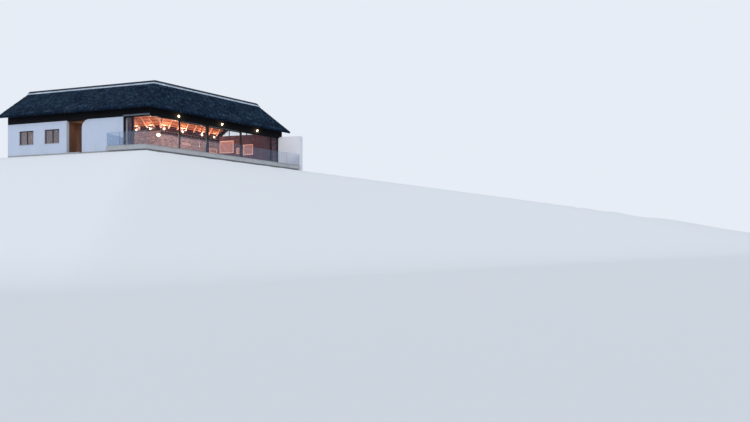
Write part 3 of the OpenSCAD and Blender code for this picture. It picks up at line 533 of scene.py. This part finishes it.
# What one wing's thatch is made of: points, faces, two maps and a tone for each point
class Sheaf:
    def __init__(self, side):
        self.side = side
        self.points, self.faces, self.reed, self.bake, self.tones = [], [], [], [], []

    def addSheet(self, sheet, band):
        grid, s, d = sheet
        self.faces += sheetFaces(*s.shape, len(self.points))
        self.points.extend(worldOf(self.side, grid).reshape(-1, 3))
        self.reed.extend(np.stack([s, d], -1).reshape(-1, 2))
        across = np.clip((s + 1) / thatch["mapWidth"], 0, 1)
        share = (d - d.min()) / max(float(d.max() - d.min()), 1e-6)
        self.bake.extend(np.stack([across, band[0] + share * (band[1] - band[0])], -1).reshape(-1, 2))
        self.tones += [0.5] * s.size

    # A tuft of four points, whose map spots lie a little apart
    def addWedge(self, wedge, spot, band, length, tone):
        first = len(self.points)
        self.points.extend(worldOf(self.side, np.array(wedge)))
        self.faces += [tuple(first + i for i in f) for f in ((0, 1, 3), (0, 3, 2), (1, 2, 3), (0, 2, 1))]
        for shift in (-0.08, 0.0, 0.02, 0.01):
            self.reed.append((spot[0] + shift * 0.3, spot[1] + shift))
            share = min(max((spot[1] + shift) / length, 0), 1)
            self.bake.append(((spot[0] + 1 + shift * 0.1) / thatch["mapWidth"],
                band[0] + share * (band[1] - band[0])))
            self.tones.append(tone)

    # Wedge-shaped reed ends all over a slope
    def addTufts(self, front, seed, band, length):
        pick = random.Random(seed)
        reach = thatch["tuftReach"][self.side]
        count = int(length * (reach + 1) * thatch["tuftsPerM2"])
        (near, top), (verge, foot) = thatch["tuftFrom"], thatch["tuftEdges"]
        s = np.array([pick.uniform(near, reach) for _ in range(count)])
        d = np.array([pick.uniform(top, length - foot) for _ in range(count)])
        y = contour(ridgeZ - d * sin(pitches[front]), front, s)
        keep = (s > y * mitre) & (s < vergeOf(self.side, y) - verge)
        s, d, y = s[keep], d[keep], y[keep]
        spots = np.stack([s, y, roofHeight(s, y, front)], -1)
        out = roofNormal(s, y, front)
        fall = np.stack([out[:, 0] * out[:, 2], out[:, 1] * out[:, 2], out[:, 2] ** 2 - 1], -1)
        fall = fall / np.linalg.norm(fall, axis=1, keepdims=True)
        cross = np.cross(out, fall)
        for k, spot in enumerate(spots):
            long, width, rise = (pick.uniform(*thatch[key]) for key in ("tuftLength", "tuftWidth", "tuftRise"))
            turn = pick.gauss(0, thatch["tuftTurn"])
            way = fall[k] * cos(turn) + cross[k] * sin(turn)
            wide = (cross[k] * cos(turn) - fall[k] * sin(turn)) * width / 2
            tip, (farSunk, sunk) = spot + way * long * 0.5, (out[k] * deep for deep in thatch["tuftSunk"])
            wedge = [spot - way * long * 0.5 - farSunk, tip - wide - sunk, tip + wide - sunk,
                tip - way * thatch["tuftBack"] + out[k] * rise]
            self.addWedge(wedge, (s[k], d[k]), band, length, pick.random())

    # Cut reed ends over an edge sheet, and reeds that hang out at its foot
    def addButts(self, sheet, outward, seed, band, length, fringe):
        pick = random.Random(seed)
        grid, s, d = sheet
        steps = np.linalg.norm(np.diff(grid[2], axis=0), axis=1)
        where = np.concatenate([[0], np.cumsum(steps)])
        total, clear = float(steps.sum()), thatch["clear"]

        def at(row, t):
            return np.array([np.interp(t, where, grid[row][:, c]) for c in range(3)])

        def along(t):
            way = at(2, min(t + clear, total)) - at(2, max(t - clear, 0))
            return way / max(np.linalg.norm(way), 1e-9)

        def addEnd(wedge, t):
            spot = tuple(float(np.interp(t, where, values[2])) for values in (s, d))
            self.addWedge(wedge, spot, band, length, pick.random())

        for _ in range(int(total * thatch["thick"] * thatch["endsPerM2"])):
            t, v = pick.uniform(clear, total - clear), pick.uniform(0.02, 3.9)
            spot = at(int(v), t) * (1 - v % 1) + at(int(v) + 1, t) * (v % 1)
            size, rise = pick.uniform(*thatch["endSize"]), pick.uniform(*thatch["endRise"])
            way = along(t)
            other, turn = np.cross(outward, way), pick.uniform(0, 2)
            ring = [spot + (way * cos(a) + other * sin(a)) * size - outward * thatch["endSunk"]
                for a in (turn, turn + 2.094, turn + 2 * 2.094)]
            addEnd([spot + outward * (rise + thatch["endSunk"]), *ring], t)
        for _ in range(int(total * thatch["fringePerM"]) if fringe else 0):
            t = pick.uniform(clear, total - clear)
            spot = at(pick.choice((3, 4)), t)
            long, width = pick.uniform(*thatch["fringeLength"]), pick.uniform(*thatch["fringeWidth"])
            way = along(t)
            tip = spot + outward * long + way * pick.uniform(-thatch["fringeDrift"], thatch["fringeDrift"])
            half = way * width / 2
            addEnd([tip, spot - half, spot + half, spot + np.cross(outward, way) * width * 0.8], t)


def makeThatch(side, seed, *stoodFor):
    sheaf = Sheaf(side)
    for front, (*band, edge) in thatch["bands"].items():
        length = thatch["across"][front] / cos(pitches[front])
        sheets = thatchSlope(side, front, seed + front * 40, length)
        for sheet, part in zip(sheets, (band, (edge + 0.04, edge + 0.12), *[(edge, edge + 0.03)] * 4)):
            sheaf.addSheet(sheet, part)
        sheaf.addTufts(front, seed * 7 + front, band, length)
        sheaf.addButts(sheets[2], downhill(front), seed * 11 + front, band, length, True)
        sheaf.addButts(sheets[3], outAlong[side], seed * 13 + front, band, length, False)
    made = piece("thatch" + side.title(), sheaf.points, sheaf.faces, thatchFinish, tones=sheaf.tones,
        maps={"reedMap": sheaf.reed, "OFBake": sheaf.bake}, smooth=True, weld=0.00002)
    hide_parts(*stoodFor)
    print("thatch", side, "faces:", len(made.data.polygons))


makeThatch("left", 3, "thatch_left", "thatch_hip")
makeThatch("right", 5, "thatch_right")


# Straw side of the thatch over the rooms, just above the laths
def makeCeiling(side, seed):
    points, faces, reed = [], [], []
    for front, edge in ((True, ceiling["front"]), (False, ceiling["back"])):
        y = np.linspace(ridgeY, edge, int(abs(edge - ridgeY) / ceiling["row"]) + 2)[:, None]
        start, end = y * mitre + ceiling["gap"], house["leftRoom"] - ceiling["gap"]
        if side == "right":
            end = rightEnd(rightRoom, y) - ceiling["gap"]
        s = start + np.linspace(0, 1, int(ceiling["length"][side] / ceiling["column"])) * (end - start)
        y = y + 0 * s
        z, out, (m, n) = roofHeight(s, y, front), roofNormal(s, y, front), s.shape
        grid = np.stack([s, y, z], -1)
        streak = lumpy(np.stack([s * 18, y * 0.7, 0 * s], -1), 1.0, seed) * ceiling["reeds"]
        first, layer = len(points), m * n
        points.extend(worldOf(side, grid - out * (ceiling["depth"] - streak)[..., None]).reshape(-1, 3))
        points.extend(worldOf(side, grid - out * (ceiling["depth"] - ceiling["thick"])).reshape(-1, 3))
        flat = np.stack([s, (ridgeZ - z) / sin(pitches[front])], -1).reshape(-1, 2)
        reed.extend(np.concatenate([flat, flat]))
        faces += sheetFaces(m, n, first) + sheetFaces(m, n, first + layer)
        rim = [(i * n + j, (i + 1) * n + j) for i in range(m - 1) for j in (0, n - 1)]
        rim += [(i * n + j, i * n + j + 1) for j in range(n - 1) for i in (0, m - 1)]
        faces += [(first + a, first + b, first + layer + b, first + layer + a) for a, b in rim]
    piece("strawCeiling" + side.title(), points, faces, strawFinish, maps={"reedMap": reed},
        tones=[ceiling["tone"]] * len(points))


makeCeiling("left", 21)
makeCeiling("right", 22)
print("straw ceilings made")


# Planes to lay blocks on, as functions of (across, up, out of the plane): along a wing or square to it
def facing(side, y, way=-1):
    return lambda x, z, d: wingPoint(side, x, y + way * d, z)


def crossFacing(s, way):
    return lambda x, z, d: wingPoint("left", s + way * d, x, z)


def box(a, b, low, high):
    return [(a, low), (b, low), (b, high), (a, high)]


# Rings of points, each joined to the next and the ends closed
def loft(points, faces, rings):
    first, n = len(points), len(rings[0])
    points.extend(p for ring in rings for p in ring)
    last = len(points) - n
    faces += [tuple(range(first, first + n)), tuple(range(last, last + n))]
    for a, b in ((at + i, at + (i + 1) % n) for at in range(first, last, n) for i in range(n)):
        faces.append((a, b, b + n, a + n))


# Convex outlines on a plane, raised into blocks with a small chamfer
block = {"diagonal": 1.4, "mostTaken": 0.6}


def blockwork(name, at, outlines, depth, chamfer, finish, body="house", seed=1, uneven=0.0, sunk=0.004):
    pick = random.Random(seed)
    points, faces, tones = [], [], []
    for outline in outlines:
        x0, z0 = (sum(p[i] for p in outline) / len(outline) for i in (0, 1))
        proud = depth + pick.uniform(-uneven, uneven)
        rings = []
        for d, inset in ((-sunk, 0.0), (proud - chamfer, 0.0), (proud, chamfer)):
            shares = [1 - min(inset * block["diagonal"] / max(hypot(x - x0, z - z0), 1e-6), block["mostTaken"])
                for x, z in outline]
            rings.append([at(x0 + (x - x0) * share, z0 + (z - z0) * share, d)
                for (x, z), share in zip(outline, shares)])
        loft(points, faces, rings)
        tones.extend([pick.random()] * (3 * len(outline)))
    piece(name, points, faces, finish, body, tones)


# Courses of bricks or boards between two ends, with openings (x0, x1, z0, z1) left out
brick = {"length": 0.23, "height": 0.085, "joint": 0.011, "bed": 0.011, "shift": 0.115, "reveal": 0.01,
    "drift": 0.0015, "least": 0.025, "proud": 0.014, "pierProud": 0.012, "chamfer": 0.004, "uneven": 0.002,
    "start": 0.01}


def courses(x0, x1, z0, z1, size, openings=(), seed=1):
    pick, outlines, row, z = random.Random(seed), [], 0, z0
    while z < z1 - 0.02:
        x, top = x0 - row * size["shift"] % size["length"], min(z + size["height"] - size["bed"], z1)
        while x < x1 - 0.02:
            spans = [(max(x, x0), min(x + size["length"] - size["joint"], x1))]
            for left, right, sillZ, head in openings:
                if sillZ < top and head > z:
                    spans = [part for a, b in spans for part in (
                        (a, min(b, left - size["reveal"])), (max(a, right + size["reveal"]), b))]
            for a, b in spans:
                if b - a > size["least"]:
                    drift = pick.uniform(-size["drift"], size["drift"])
                    outlines.append(box(a, b, z + drift, top + drift))
            x += size["length"]
        z += size["height"]
        row += 1
    return outlines


def brickwork(name, at, x0, x1, z1, proud, finish, seed, openings=()):
    outlines = courses(x0, x1, brick["start"], z1, brick, openings, seed)
    blockwork(name, at, outlines, brick[proud], brick["chamfer"], finish, seed=seed + 1,
        uneven=brick["uneven"])


wallOpenings = {
    "left": [(7.6, 8.6, 0, 2.15), (9.3, 10.9, 0.9, 2.15), (11.7, 13.3, 0.9, 2.15)],
    "right": [(4.2, 5.6, 0.4, 1.3), (6.4, 7.8, 0.4, 1.3)],
    "front": [(9.1, 10.7, 0.9, 2.15), (11.9, 13.5, 0.9, 2.15)],
}
wallEnds = {"left": 14.49, "right": 9.44}
for side, end in wallEnds.items():
    start = (roomDepth - brick["proud"]) * mitre + 0.002
    brickwork("roomBrick" + side.title(), facing(side, roomDepth), start, end, house["backWall"] - margin, "proud",
        tanBrick, 31, wallOpenings[side])

# Dark boards along the top of the right wing's back wall; their darkness is partly painted shade for the wall's
# shaded top
shadeFrieze = {"rows": (2.62, 2.725, 2.83), "high": 0.1, "thick": 0.024, "joint": 0.004}
joints = np.linspace(roomDepth * mitre + margin, wallEnds["right"], 4)
blockwork("friezeShadeBoards", facing("right", roomDepth), [box(a, b - shadeFrieze["joint"], z, z + shadeFrieze["high"])
    for a, b in zip(joints, joints[1:]) for z in shadeFrieze["rows"]],
    shadeFrieze["thick"], 0.004, darkTimberAndShade, seed=38)


# The right end wall is square to the left wing
def endPlane(x, z, d):
    return Vector((house["bendX"] + x, house["bendY"] + rightRoom - d, house["floorZ"] + z))


endWall = {"ends": (-0.22, 6.17), "top": 3.265}
brickwork("endWallBrick", endPlane, *endWall["ends"], endWall["top"], "proud", redBrick, 33)

# Pier inside the left glazing, with a plastered strip beside its bricks
pier = {"s": (2.05, 2.54), "y": (0.18, 0.66), "top": 3.3, "strip": 2.36, "corner": 0.003,
    "bands": (0.01, 1.1, 2.19), "band": 1.09}
pierFront = facing("left", pier["y"][0])
for name, plane, ends in (
        ("Front", pierFront, (pier["s"][0], pier["strip"])), ("Back", facing("left", pier["y"][1], 1), pier["s"]),
        ("Bend", crossFacing(pier["s"][0], -1), pier["y"]), ("Far", crossFacing(pier["s"][1], 1), pier["y"])):
    brickwork("pierBrick" + name, plane, ends[0] + pier["corner"], ends[1] - pier["corner"], pier["top"] - margin,
        "pierProud", redBrick, 35)
blockwork("pierPlaster", pierFront, [
    box(pier["strip"] + 0.004, pier["s"][1], z, z + pier["band"]) for z in pier["bands"]],
    brick["pierProud"], 0.003, roomPlaster, seed=37)
print("brickwork laid")

# Black boards over the eaves beam
boards = {"height": 0.13, "bed": 0.008, "length": 4.8, "joint": 0.003, "shift": 1.7, "drift": 0, "least": 0,
    "thick": 0.014, "leftEnd": 14.77, "rows": 5}
for side in ("left", "right"):
    y, low = house["beamFront"], house["headZ"] + 0.002
    last = boards["leftEnd"]
    if side == "right":
        last = rightEnd(rightRoom + house["wall"], y) - margin
    top = low + boards["rows"] * boards["height"] - boards["bed"]
    outlines = courses(y * mitre + 0.004, last, low, top, boards)
    blockwork("fasciaBoards" + side.title(), facing(side, y), outlines, boards["thick"], 0.004, blackBeam,
        seed=41)


# Outline cut by half planes (a, b, c), keeping a x + b y <= c
def cut(outline, planes):
    for a, b, c in planes:
        kept = []
        for p, q in zip(outline, outline[1:] + outline[:1]):
            dp, dq = a * p[0] + b * p[1] - c, a * q[0] + b * q[1] - c
            if dp <= 0:
                kept.append(p)
            if (dp < 0) != (dq < 0) and abs(dp - dq) > 1e-12:
                t = dp / (dp - dq)
                kept.append((p[0] + (q[0] - p[0]) * t, p[1] + (q[1] - p[1]) * t))
        outline = kept
        if len(outline) < 3:
            return []
    return outline


# Concrete pavers on the terrace, in wing coordinates
pavers = {"size": 0.6, "joint": 0.008, "thick": 0.014, "start": -0.14, "edge": 1.945, "least": 0.05,
    "uneven": 0.0008}
paverEnds = {"left": (1, 0, 2.5), "right": (sinTurn, cosTurn, rightRoom - margin)}
for side, end in paverEnds.items():
    outlines = []
    for i in range(-4, 26):
        for j in range(4):
            x, y = i * pavers["size"], pavers["start"] - j * pavers["size"]
            low = max(y - pavers["size"] + pavers["joint"], -pavers["edge"])
            if low <= y - pavers["least"]:
                paver = box(x, x + pavers["size"] - pavers["joint"], low, y)
                outlines.append(cut(paver, [(-1, mitre, -0.006), end]))
    blockwork("pavers" + side.title(), lambda x, y, d, side=side: wingPoint(side, x, y, house["terraceZ"] + d),
        [outline for outline in outlines if outline], pavers["thick"], 0.003, paverStone,
        seed=43, uneven=pavers["uneven"], sunk=0.001)


# Stone blocks (side, s0, s1, y0, y1, z0, z1) with their upper edges taken off
def stones(name, blocks, chamfer):
    points, faces = [], []
    for side, s0, s1, y0, y1, z0, z1 in blocks:
        loft(points, faces, [
            [wingPoint(side, s, y, z) for s, y in box(s0 + inset, s1 - inset, y0 + inset, y1 - inset)]
            for z, inset in ((z0, 0), (z1 - chamfer, 0), (z1, chamfer))])
    piece(name, points, faces, terraceStone)


sill = {"thick": 0.03, "proud": 0.035, "frame": 0.036, "side": 0.003}
half = house["wall"] / 2
wallOut = roomDepth + house["wall"]
sillDepths = {"back": (roomDepth + half + sill["frame"], wallOut + sill["proud"]),
    "front": (-half - sill["proud"], -sill["frame"])}
stones("windowSills", [(side, s0 + sill["side"], s1 - sill["side"], *sillDepths[line], z, z + sill["thick"])
    for side, line, gaps in (("left", "back", wallOpenings["left"]), ("right", "back", wallOpenings["right"]),
    ("left", "front", wallOpenings["front"])) for s0, s1, z, _ in gaps if z > 0], 0.006)

# Three steps up to the back door and to the porch
flight = {"treads": 3, "tread": 0.28, "joint": 0.002, "top": -0.02, "ground": -0.6, "back": (7.5, 8.7),
    "porch": (6.76, 8.28)}
rise = (flight["top"] - flight["ground"]) / flight["treads"]
flightSteps = []
for ends, start, way in ((flight["back"], wallOut, 1), (flight["porch"], -half - flight["joint"], -1)):
    for k in range(flight["treads"]):
        reach = (k * flight["tread"], (k + 1) * flight["tread"] - flight["joint"])
        flightSteps.append(("left", *ends, *sorted(start + way * y for y in reach), flight["ground"],
            flight["top"] - k * rise))
stones("doorSteps", flightSteps, 0.012)

# Vertical boards in the porch recess
porch = {"start": 6.0, "end": 8.32, "back": 0.9, "front": 0.14, "foot": 0.005, "top": 2.69, "board": 0.116,
    "gap": 0.005, "thick": 0.014, "sideThick": 0.012, "corner": 0.016}


def uprights(x0, x1):
    count = max(1, round((x1 - x0) / porch["board"]))
    step = (x1 - x0) / count
    return [box(x0 + k * step, x0 + (k + 1) * step - porch["gap"], porch["foot"], porch["top"])
        for k in range(count)]


sides = (porch["front"], porch["back"] - porch["corner"], porch["sideThick"], 45)
for name, plane, x0, x1, thick, seed in (
        ("Back", facing("left", porch["back"]), porch["start"] + margin, porch["end"] - margin,
        porch["thick"], 44),
        ("Near", crossFacing(porch["start"], 1), *sides), ("Far", crossFacing(porch["end"], -1), *sides)):
    blockwork("porchBoards" + name, plane, uprights(x0, x1), thick, 0.004, porchWood, seed=seed)
print("boards and pavers laid")


# Circle of points round a centre
def circle(centre, across, third, radius, sides):
    return [centre + (across * cos(a) + third * sin(a)) * radius
        for a in (2 * pi * k / sides for k in range(sides))]


# Turned pieces: a profile of (distance along the axis, radius), swept round it
def turned(name, spots, profile, finish, sides=32, sharp=None):
    points, faces = [], []
    for centre, axis in spots:
        across = axis.orthogonal().normalized()
        loft(points, faces, [circle(centre + axis * along, across, axis.cross(across), radius, sides)
            for along, radius in profile])
    made = piece(name, points, faces, finish, smooth=True)
    if sharp:
        made.data.set_sharp_from_angle(angle=radians(sharp))
    return made


lamps = {
    "fronts": (2.39, 6.48, 10.21), "z": 3.1, "out": -0.012, "porch": (7.14, 0.888, 2.4), "radius": 0.085,
    "rim": 0.105, "base": 0.018, "dome": 0.06, "sharp": 40,
    "globe": (1.75, 1.79), "globeRadius": 0.15, "ribs": 40, "rib": 0.012,
    "uplighters": {"left": (4.39, 5.98), "right": (3.65, 5.47, 7.51, 8.84)}, "upY": 5.67, "upHigh": 0.11,
}
upward = Vector((0, 0, 1))
seaward = {side: wingPoint(side, 0, -1, 0) - wingPoint(side, 0, 0, 0) for side in ("left", "right")}
lampSpots = [(wingPoint("right", s, house["beamFront"] + lamps["out"], lamps["z"]), seaward["right"])
    for s in lamps["fronts"]] + [(wingPoint("left", *lamps["porch"]), seaward["left"])]
radius, rim = lamps["radius"], lamps["rim"]
dome = [(lamps["base"] + lamps["dome"] * sin(a), radius * cos(a)) for a in np.linspace(0.15, 1.45, 8)]
outsideGlass = turned("outsideLampGlass", lampSpots, [
    (lamps["base"], radius), *dome, (lamps["base"] + lamps["dome"], 0.004)], lampGlow)
turned("outsideLampRims", lampSpots, [
    (-0.01, 0.07), (-0.01, rim), (0.012, rim), (0.022, rim - 0.008), (0.03, radius + 0.006),
    (0.03, radius - 0.004), (0.015, radius - 0.006)], blackFrame, sharp=lamps["sharp"])
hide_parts("outside_lamps")

# Ribbed globe on a rod from the ridge board
globeCentre = wingPoint("right", lamps["globe"][0], ridgeY, lamps["globe"][1])
globeRadius, rodEnd = lamps["globeRadius"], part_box("ridge_board")[0].z - globeCentre.z
ribbed = []
for k in range(lamps["ribs"] + 1):
    a = pi * k / lamps["ribs"]
    rib = 1 + lamps["rib"] * (-1 if k % 2 else 1)
    ribbed.append((-globeRadius * cos(a), max(globeRadius * sin(a) * rib, 0.012)))
roomGlobe = turned("roomGlobe", [(globeCentre, upward)], ribbed, roomGlow, sides=40)
turned("globeRod", [(globeCentre, upward)], [
    (globeRadius - 0.01, 0.02), (globeRadius + 0.02, 0.02), (globeRadius + 0.03, 0.008), (rodEnd - 0.05, 0.008),
    (rodEnd - 0.045, 0.03), (rodEnd - 0.001, 0.032)], blackFrame, sides=20, sharp=lamps["sharp"])

# Opal uplighters on the back walls
upZ = house["backLine"] - house["plateDepth"] / cos(pitches[False]) - 2 * lamps["upHigh"]
upSpots = [(wingPoint(side, s, lamps["upY"], upZ), upward)
    for side, spots in lamps["uplighters"].items() for s in spots]
turned("uplighterShades", upSpots, [
    (0.0, 0.02), (0.002, 0.04), (0.03, 0.052), (0.09, 0.063), (0.1, 0.065), (0.1, 0.06), (0.085, 0.055)],
    shadeGlow, sharp=lamps["sharp"])
upGlass = turned("uplighterGlass", upSpots, [
    (0.07, 0.05), (0.085, 0.056), (0.1, 0.055), (0.112, 0.04), (0.118, 0.01)], shadeGlow)
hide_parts("room_lamps")
for glass in (outsideGlass, roomGlobe, upGlass):
    glass.visible_shadow = False
print("lamps made")

# Polished edges of the balustrade glass, along its top and at each joint
rail = {"y": -1.98, "top": 1.03, "foot": -0.01, "half": 0.0095, "line": 0.006, "upright": 0.004, "gap": 0.012,
    "proud": 0.0005, "panes": {"right": 10, "left": 3}, "leftEnd": 2.485}
railStart = rail["y"] * mitre
points, faces = [], []
for side, end in (("right", rightEnd(rightRoom, rail["y"])), ("left", rail["leftEnd"])):
    width, low = (end - railStart) / rail["panes"][side], rail["top"] - rail["line"]
    for k in range(rail["panes"][side]):
        a = railStart + k * width + rail["gap"] / 2 + (rail["upright"] if k == 0 else 0)
        b = railStart + (k + 1) * width - rail["gap"] / 2
        for edge in (box(a, b, low, rail["top"] + rail["proud"]), box(a, a + rail["upright"], rail["foot"], low),
                box(b - rail["upright"], b, rail["foot"], low)):
            loft(points, faces, [[wingPoint(side, x, rail["y"] + y, z) for x, z in edge]
                for y in (-rail["half"], rail["half"])])
piece("balustradeEdges", points, faces, glassEdge)


# Pulls on the terrace doors: a bar inside and a flush plate outside
pulls = {"low": 0.8, "high": 1.3, "stand": 0.05, "radius": 0.011, "face": 0.125, "foot": 0.003, "front": 0.075,
    "corner": 0.02, "plate": (0.02, 0.95, 1.15),
    "doors": (("doorOne", "door_one", 5.055), ("doorTwo", "door_two", 5.165))}
corner, foot = pulls["corner"], pulls["face"] - pulls["foot"]
reach = pulls["face"] + pulls["stand"] - corner
bend = [(sin(a) * corner, cos(a) * corner) for a in np.linspace(0, pi / 2, 5)]
bar = [(foot, pulls["low"]), *((reach + out, pulls["low"] + corner - up) for out, up in bend),
    *((reach + out, pulls["high"] - corner + up) for up, out in bend), (foot, pulls["high"])]
half, low, high = pulls["plate"]
for label, body, s in pulls["doors"]:
    path, rings, across = [wingPoint("right", s, y, z) for y, z in bar], [], None
    for before, spot, after in zip(path[:1] + path, path, path[1:] + path[-1:]):
        ahead = (after - before).normalized()
        across = (across - ahead * across.dot(ahead) if across else ahead.orthogonal()).normalized()
        rings.append(circle(spot, across, ahead.cross(across), pulls["radius"], 12))
    points, faces = [], []
    loft(points, faces, rings)
    piece(label + "Pull", points, faces, steel, body, smooth=True)
    blockwork(label + "Plate", facing("right", pulls["front"]), [box(s - half, s + half, low, high)], 0.003, 0.001,
        steel, body, sunk=0.002)

# Fields of the wall panels, set back inside their frames
panels = {"end": ((4.96, 6.56, 1.54, 2.82), (2.77, 3.86, 1.26, 2.33), (4.18, 4.63, 1.39, 2.01)),
    "back": ((8.3, 9.13, 1.46, 1.96), (5.42, 6.24, 1.93, 2.11)), "frame": 0.09, "backGap": 0.023}
panelLine = rightEnd(rightRoom, 0) * cosTurn
endPanels = [(panelLine - b, panelLine - a, low, high) for a, b, low, high in panels["end"]]
for name, plane, spans, seed in (("end", lambda x, z, d: endPlane(x, z, panels["backGap"] + d), endPanels, 51),
        ("back", facing("right", roomDepth - panels["backGap"]), panels["back"], 52)):
    edged = ((span, min(panels["frame"], (span[3] - span[2]) / 4)) for span in spans)
    blockwork(name + "PanelFields", plane, [
        box(a + edge, b - edge, low + edge, high - edge) for (a, b, low, high), edge in edged], 0.006, 0.003,
        panelField, seed=seed)
print("fittings made")

# Ground, falling away before the sea front to where the camera stands
ground = {"edge": 2.45, "fall": tan(radians(30)), "lip": 0.25, "floor": 9.3, "soft": 1.6, "reach": 420,
    "step": 0.8, "near": 34, "growth": 0.12, "under": 0.002}
steps = [0.0]
while steps[-1] < ground["reach"]:
    steps.append(steps[-1] + max(ground["step"], ground["growth"] * (steps[-1] - ground["near"])))
axis = sorted({-v for v in steps} | set(steps))


def groundHeight(x, y):
    u, v = x - house["bendX"], y - house["bendY"]
    beyond = max(-ground["edge"] - min(v, -u * sinTurn + v * cosTurn), 0)
    drop = ground["fall"] * (hypot(beyond, ground["lip"]) - ground["lip"])
    return -softLeast(drop, ground["floor"], ground["soft"]) - ground["under"]


groundMesh = bpy.data.meshes.new("ground")
groundMesh.from_pydata([(x, y, groundHeight(x, y)) for y in axis for x in axis], [],
    sheetFaces(len(axis), len(axis)))
groundMesh.shade_smooth()
groundMesh.materials.append(
    Finish("paleFloor", Base_Color=(0.74, 0.76, 0.8), Roughness=0.95, Specular_IOR_Level=0.1).material)
linked("ground", groundMesh)

# Pale backdrop for what is looked at, and a softer light for the surfaces
sky = {"seen": (0.8, 0.845, 0.92), "light": (0.86, 0.93, 1.0), "strength": 0.62}
scene.world = bpy.data.worlds.new("studio")
studio = Finish("studio", scene.world)
studio.tree.nodes.clear()
looked, glossy, through = (studio.node("LightPath", out="Is " + kind + " Ray")
    for kind in ("Camera", "Glossy", "Transmission"))
light, seen = (studio.node("Background", {"Color": sky[part], "Strength": strength})
    for part, strength in (("light", sky["strength"]), ("seen", 1)))
shown = studio.node("MixShader", {0: looked.atLeast(glossy).atLeast(through), 1: light, 2: seen})
studio.node("OutputWorld", [shown])


def lightAt(name, spot, energy, colour, size, kind="POINT"):
    data = bpy.data.lights.new(name, kind)
    data.energy, data.color = energy, colour
    setattr(data, {"SUN": "angle", "POINT": "shadow_soft_size"}[kind], size)
    made = linked(name, data)
    made.location = spot
    return made


# Suns point at the house's middle
suns = (("softKey", (24, -40, 34), 1.35, (0.96, 0.98, 1.0), 40),
    ("softFill", (-40, -18, 20), 0.45, (0.9, 0.95, 1.0), 60))
for name, spot, energy, colour, spread in suns:
    sun = lightAt(name, spot, energy, colour, radians(spread), "SUN")
    sun.rotation_euler = (Vector((0, 0, 2)) - Vector(spot)).to_track_quat("-Z", "Y").to_euler()

warm = {"colour": (1.0, 0.7, 0.51), "globe": 100, "up": (29, 30, 40, 42, 28, 13),
    "outsideColour": (1.0, 0.72, 0.4), "outside": (14, 14, 14, 9), "roomY": 2.6, "roomZ": 1.9,
    "size": {"globe": 0.15, "up": 0.06, "outside": 0.05, "room": 0.3}, "above": 0.16, "before": 0.14,
    "rooms": (("left", 1.6, 105), ("left", 5.5, 150), ("left", 10.0, 200), ("right", 3.4, 190),
    ("right", 5.8, 175), ("right", 8.2, 66))}
lightAt("globeLight", globeCentre, warm["globe"], warm["colour"], warm["size"]["globe"])
for k, (spot, _) in enumerate(upSpots):
    lightAt("uplight" + str(k), spot + upward * warm["above"], warm["up"][k], warm["colour"], warm["size"]["up"])
for k, (spot, out) in enumerate(lampSpots):
    lightAt("outsideLight" + str(k), spot + out * warm["before"], warm["outside"][k], warm["outsideColour"],
        warm["size"]["outside"])
for k, (side, s, power) in enumerate(warm["rooms"]):
    spot = wingPoint(side, s, warm["roomY"], warm["roomZ"])
    lightAt("roomLight" + str(k), spot, power, warm["colour"], warm["size"]["room"])
print("lights set")

# Level camera where the photograph was taken from
view = {"spot": (28.85, -36.95, -8.2), "turn": radians(14.5), "lens": 24.86, "sensor": 36, "shift": 0.0487,
    "clip": (0.1, 1500)}
cameraData = bpy.data.cameras.new("camera")
cameraData.lens, cameraData.sensor_width, cameraData.shift_y = view["lens"], view["sensor"], view["shift"]
cameraData.clip_start, cameraData.clip_end = view["clip"]
camera = linked("camera", cameraData)
camera.location = Vector(view["spot"]) + wingPoint("left", 0, 0, 0)
camera.rotation_euler = (pi / 2, 0, view["turn"])
scene.camera = camera
scene.view_settings.view_transform = "Standard"

bpy.context.view_layer.update()
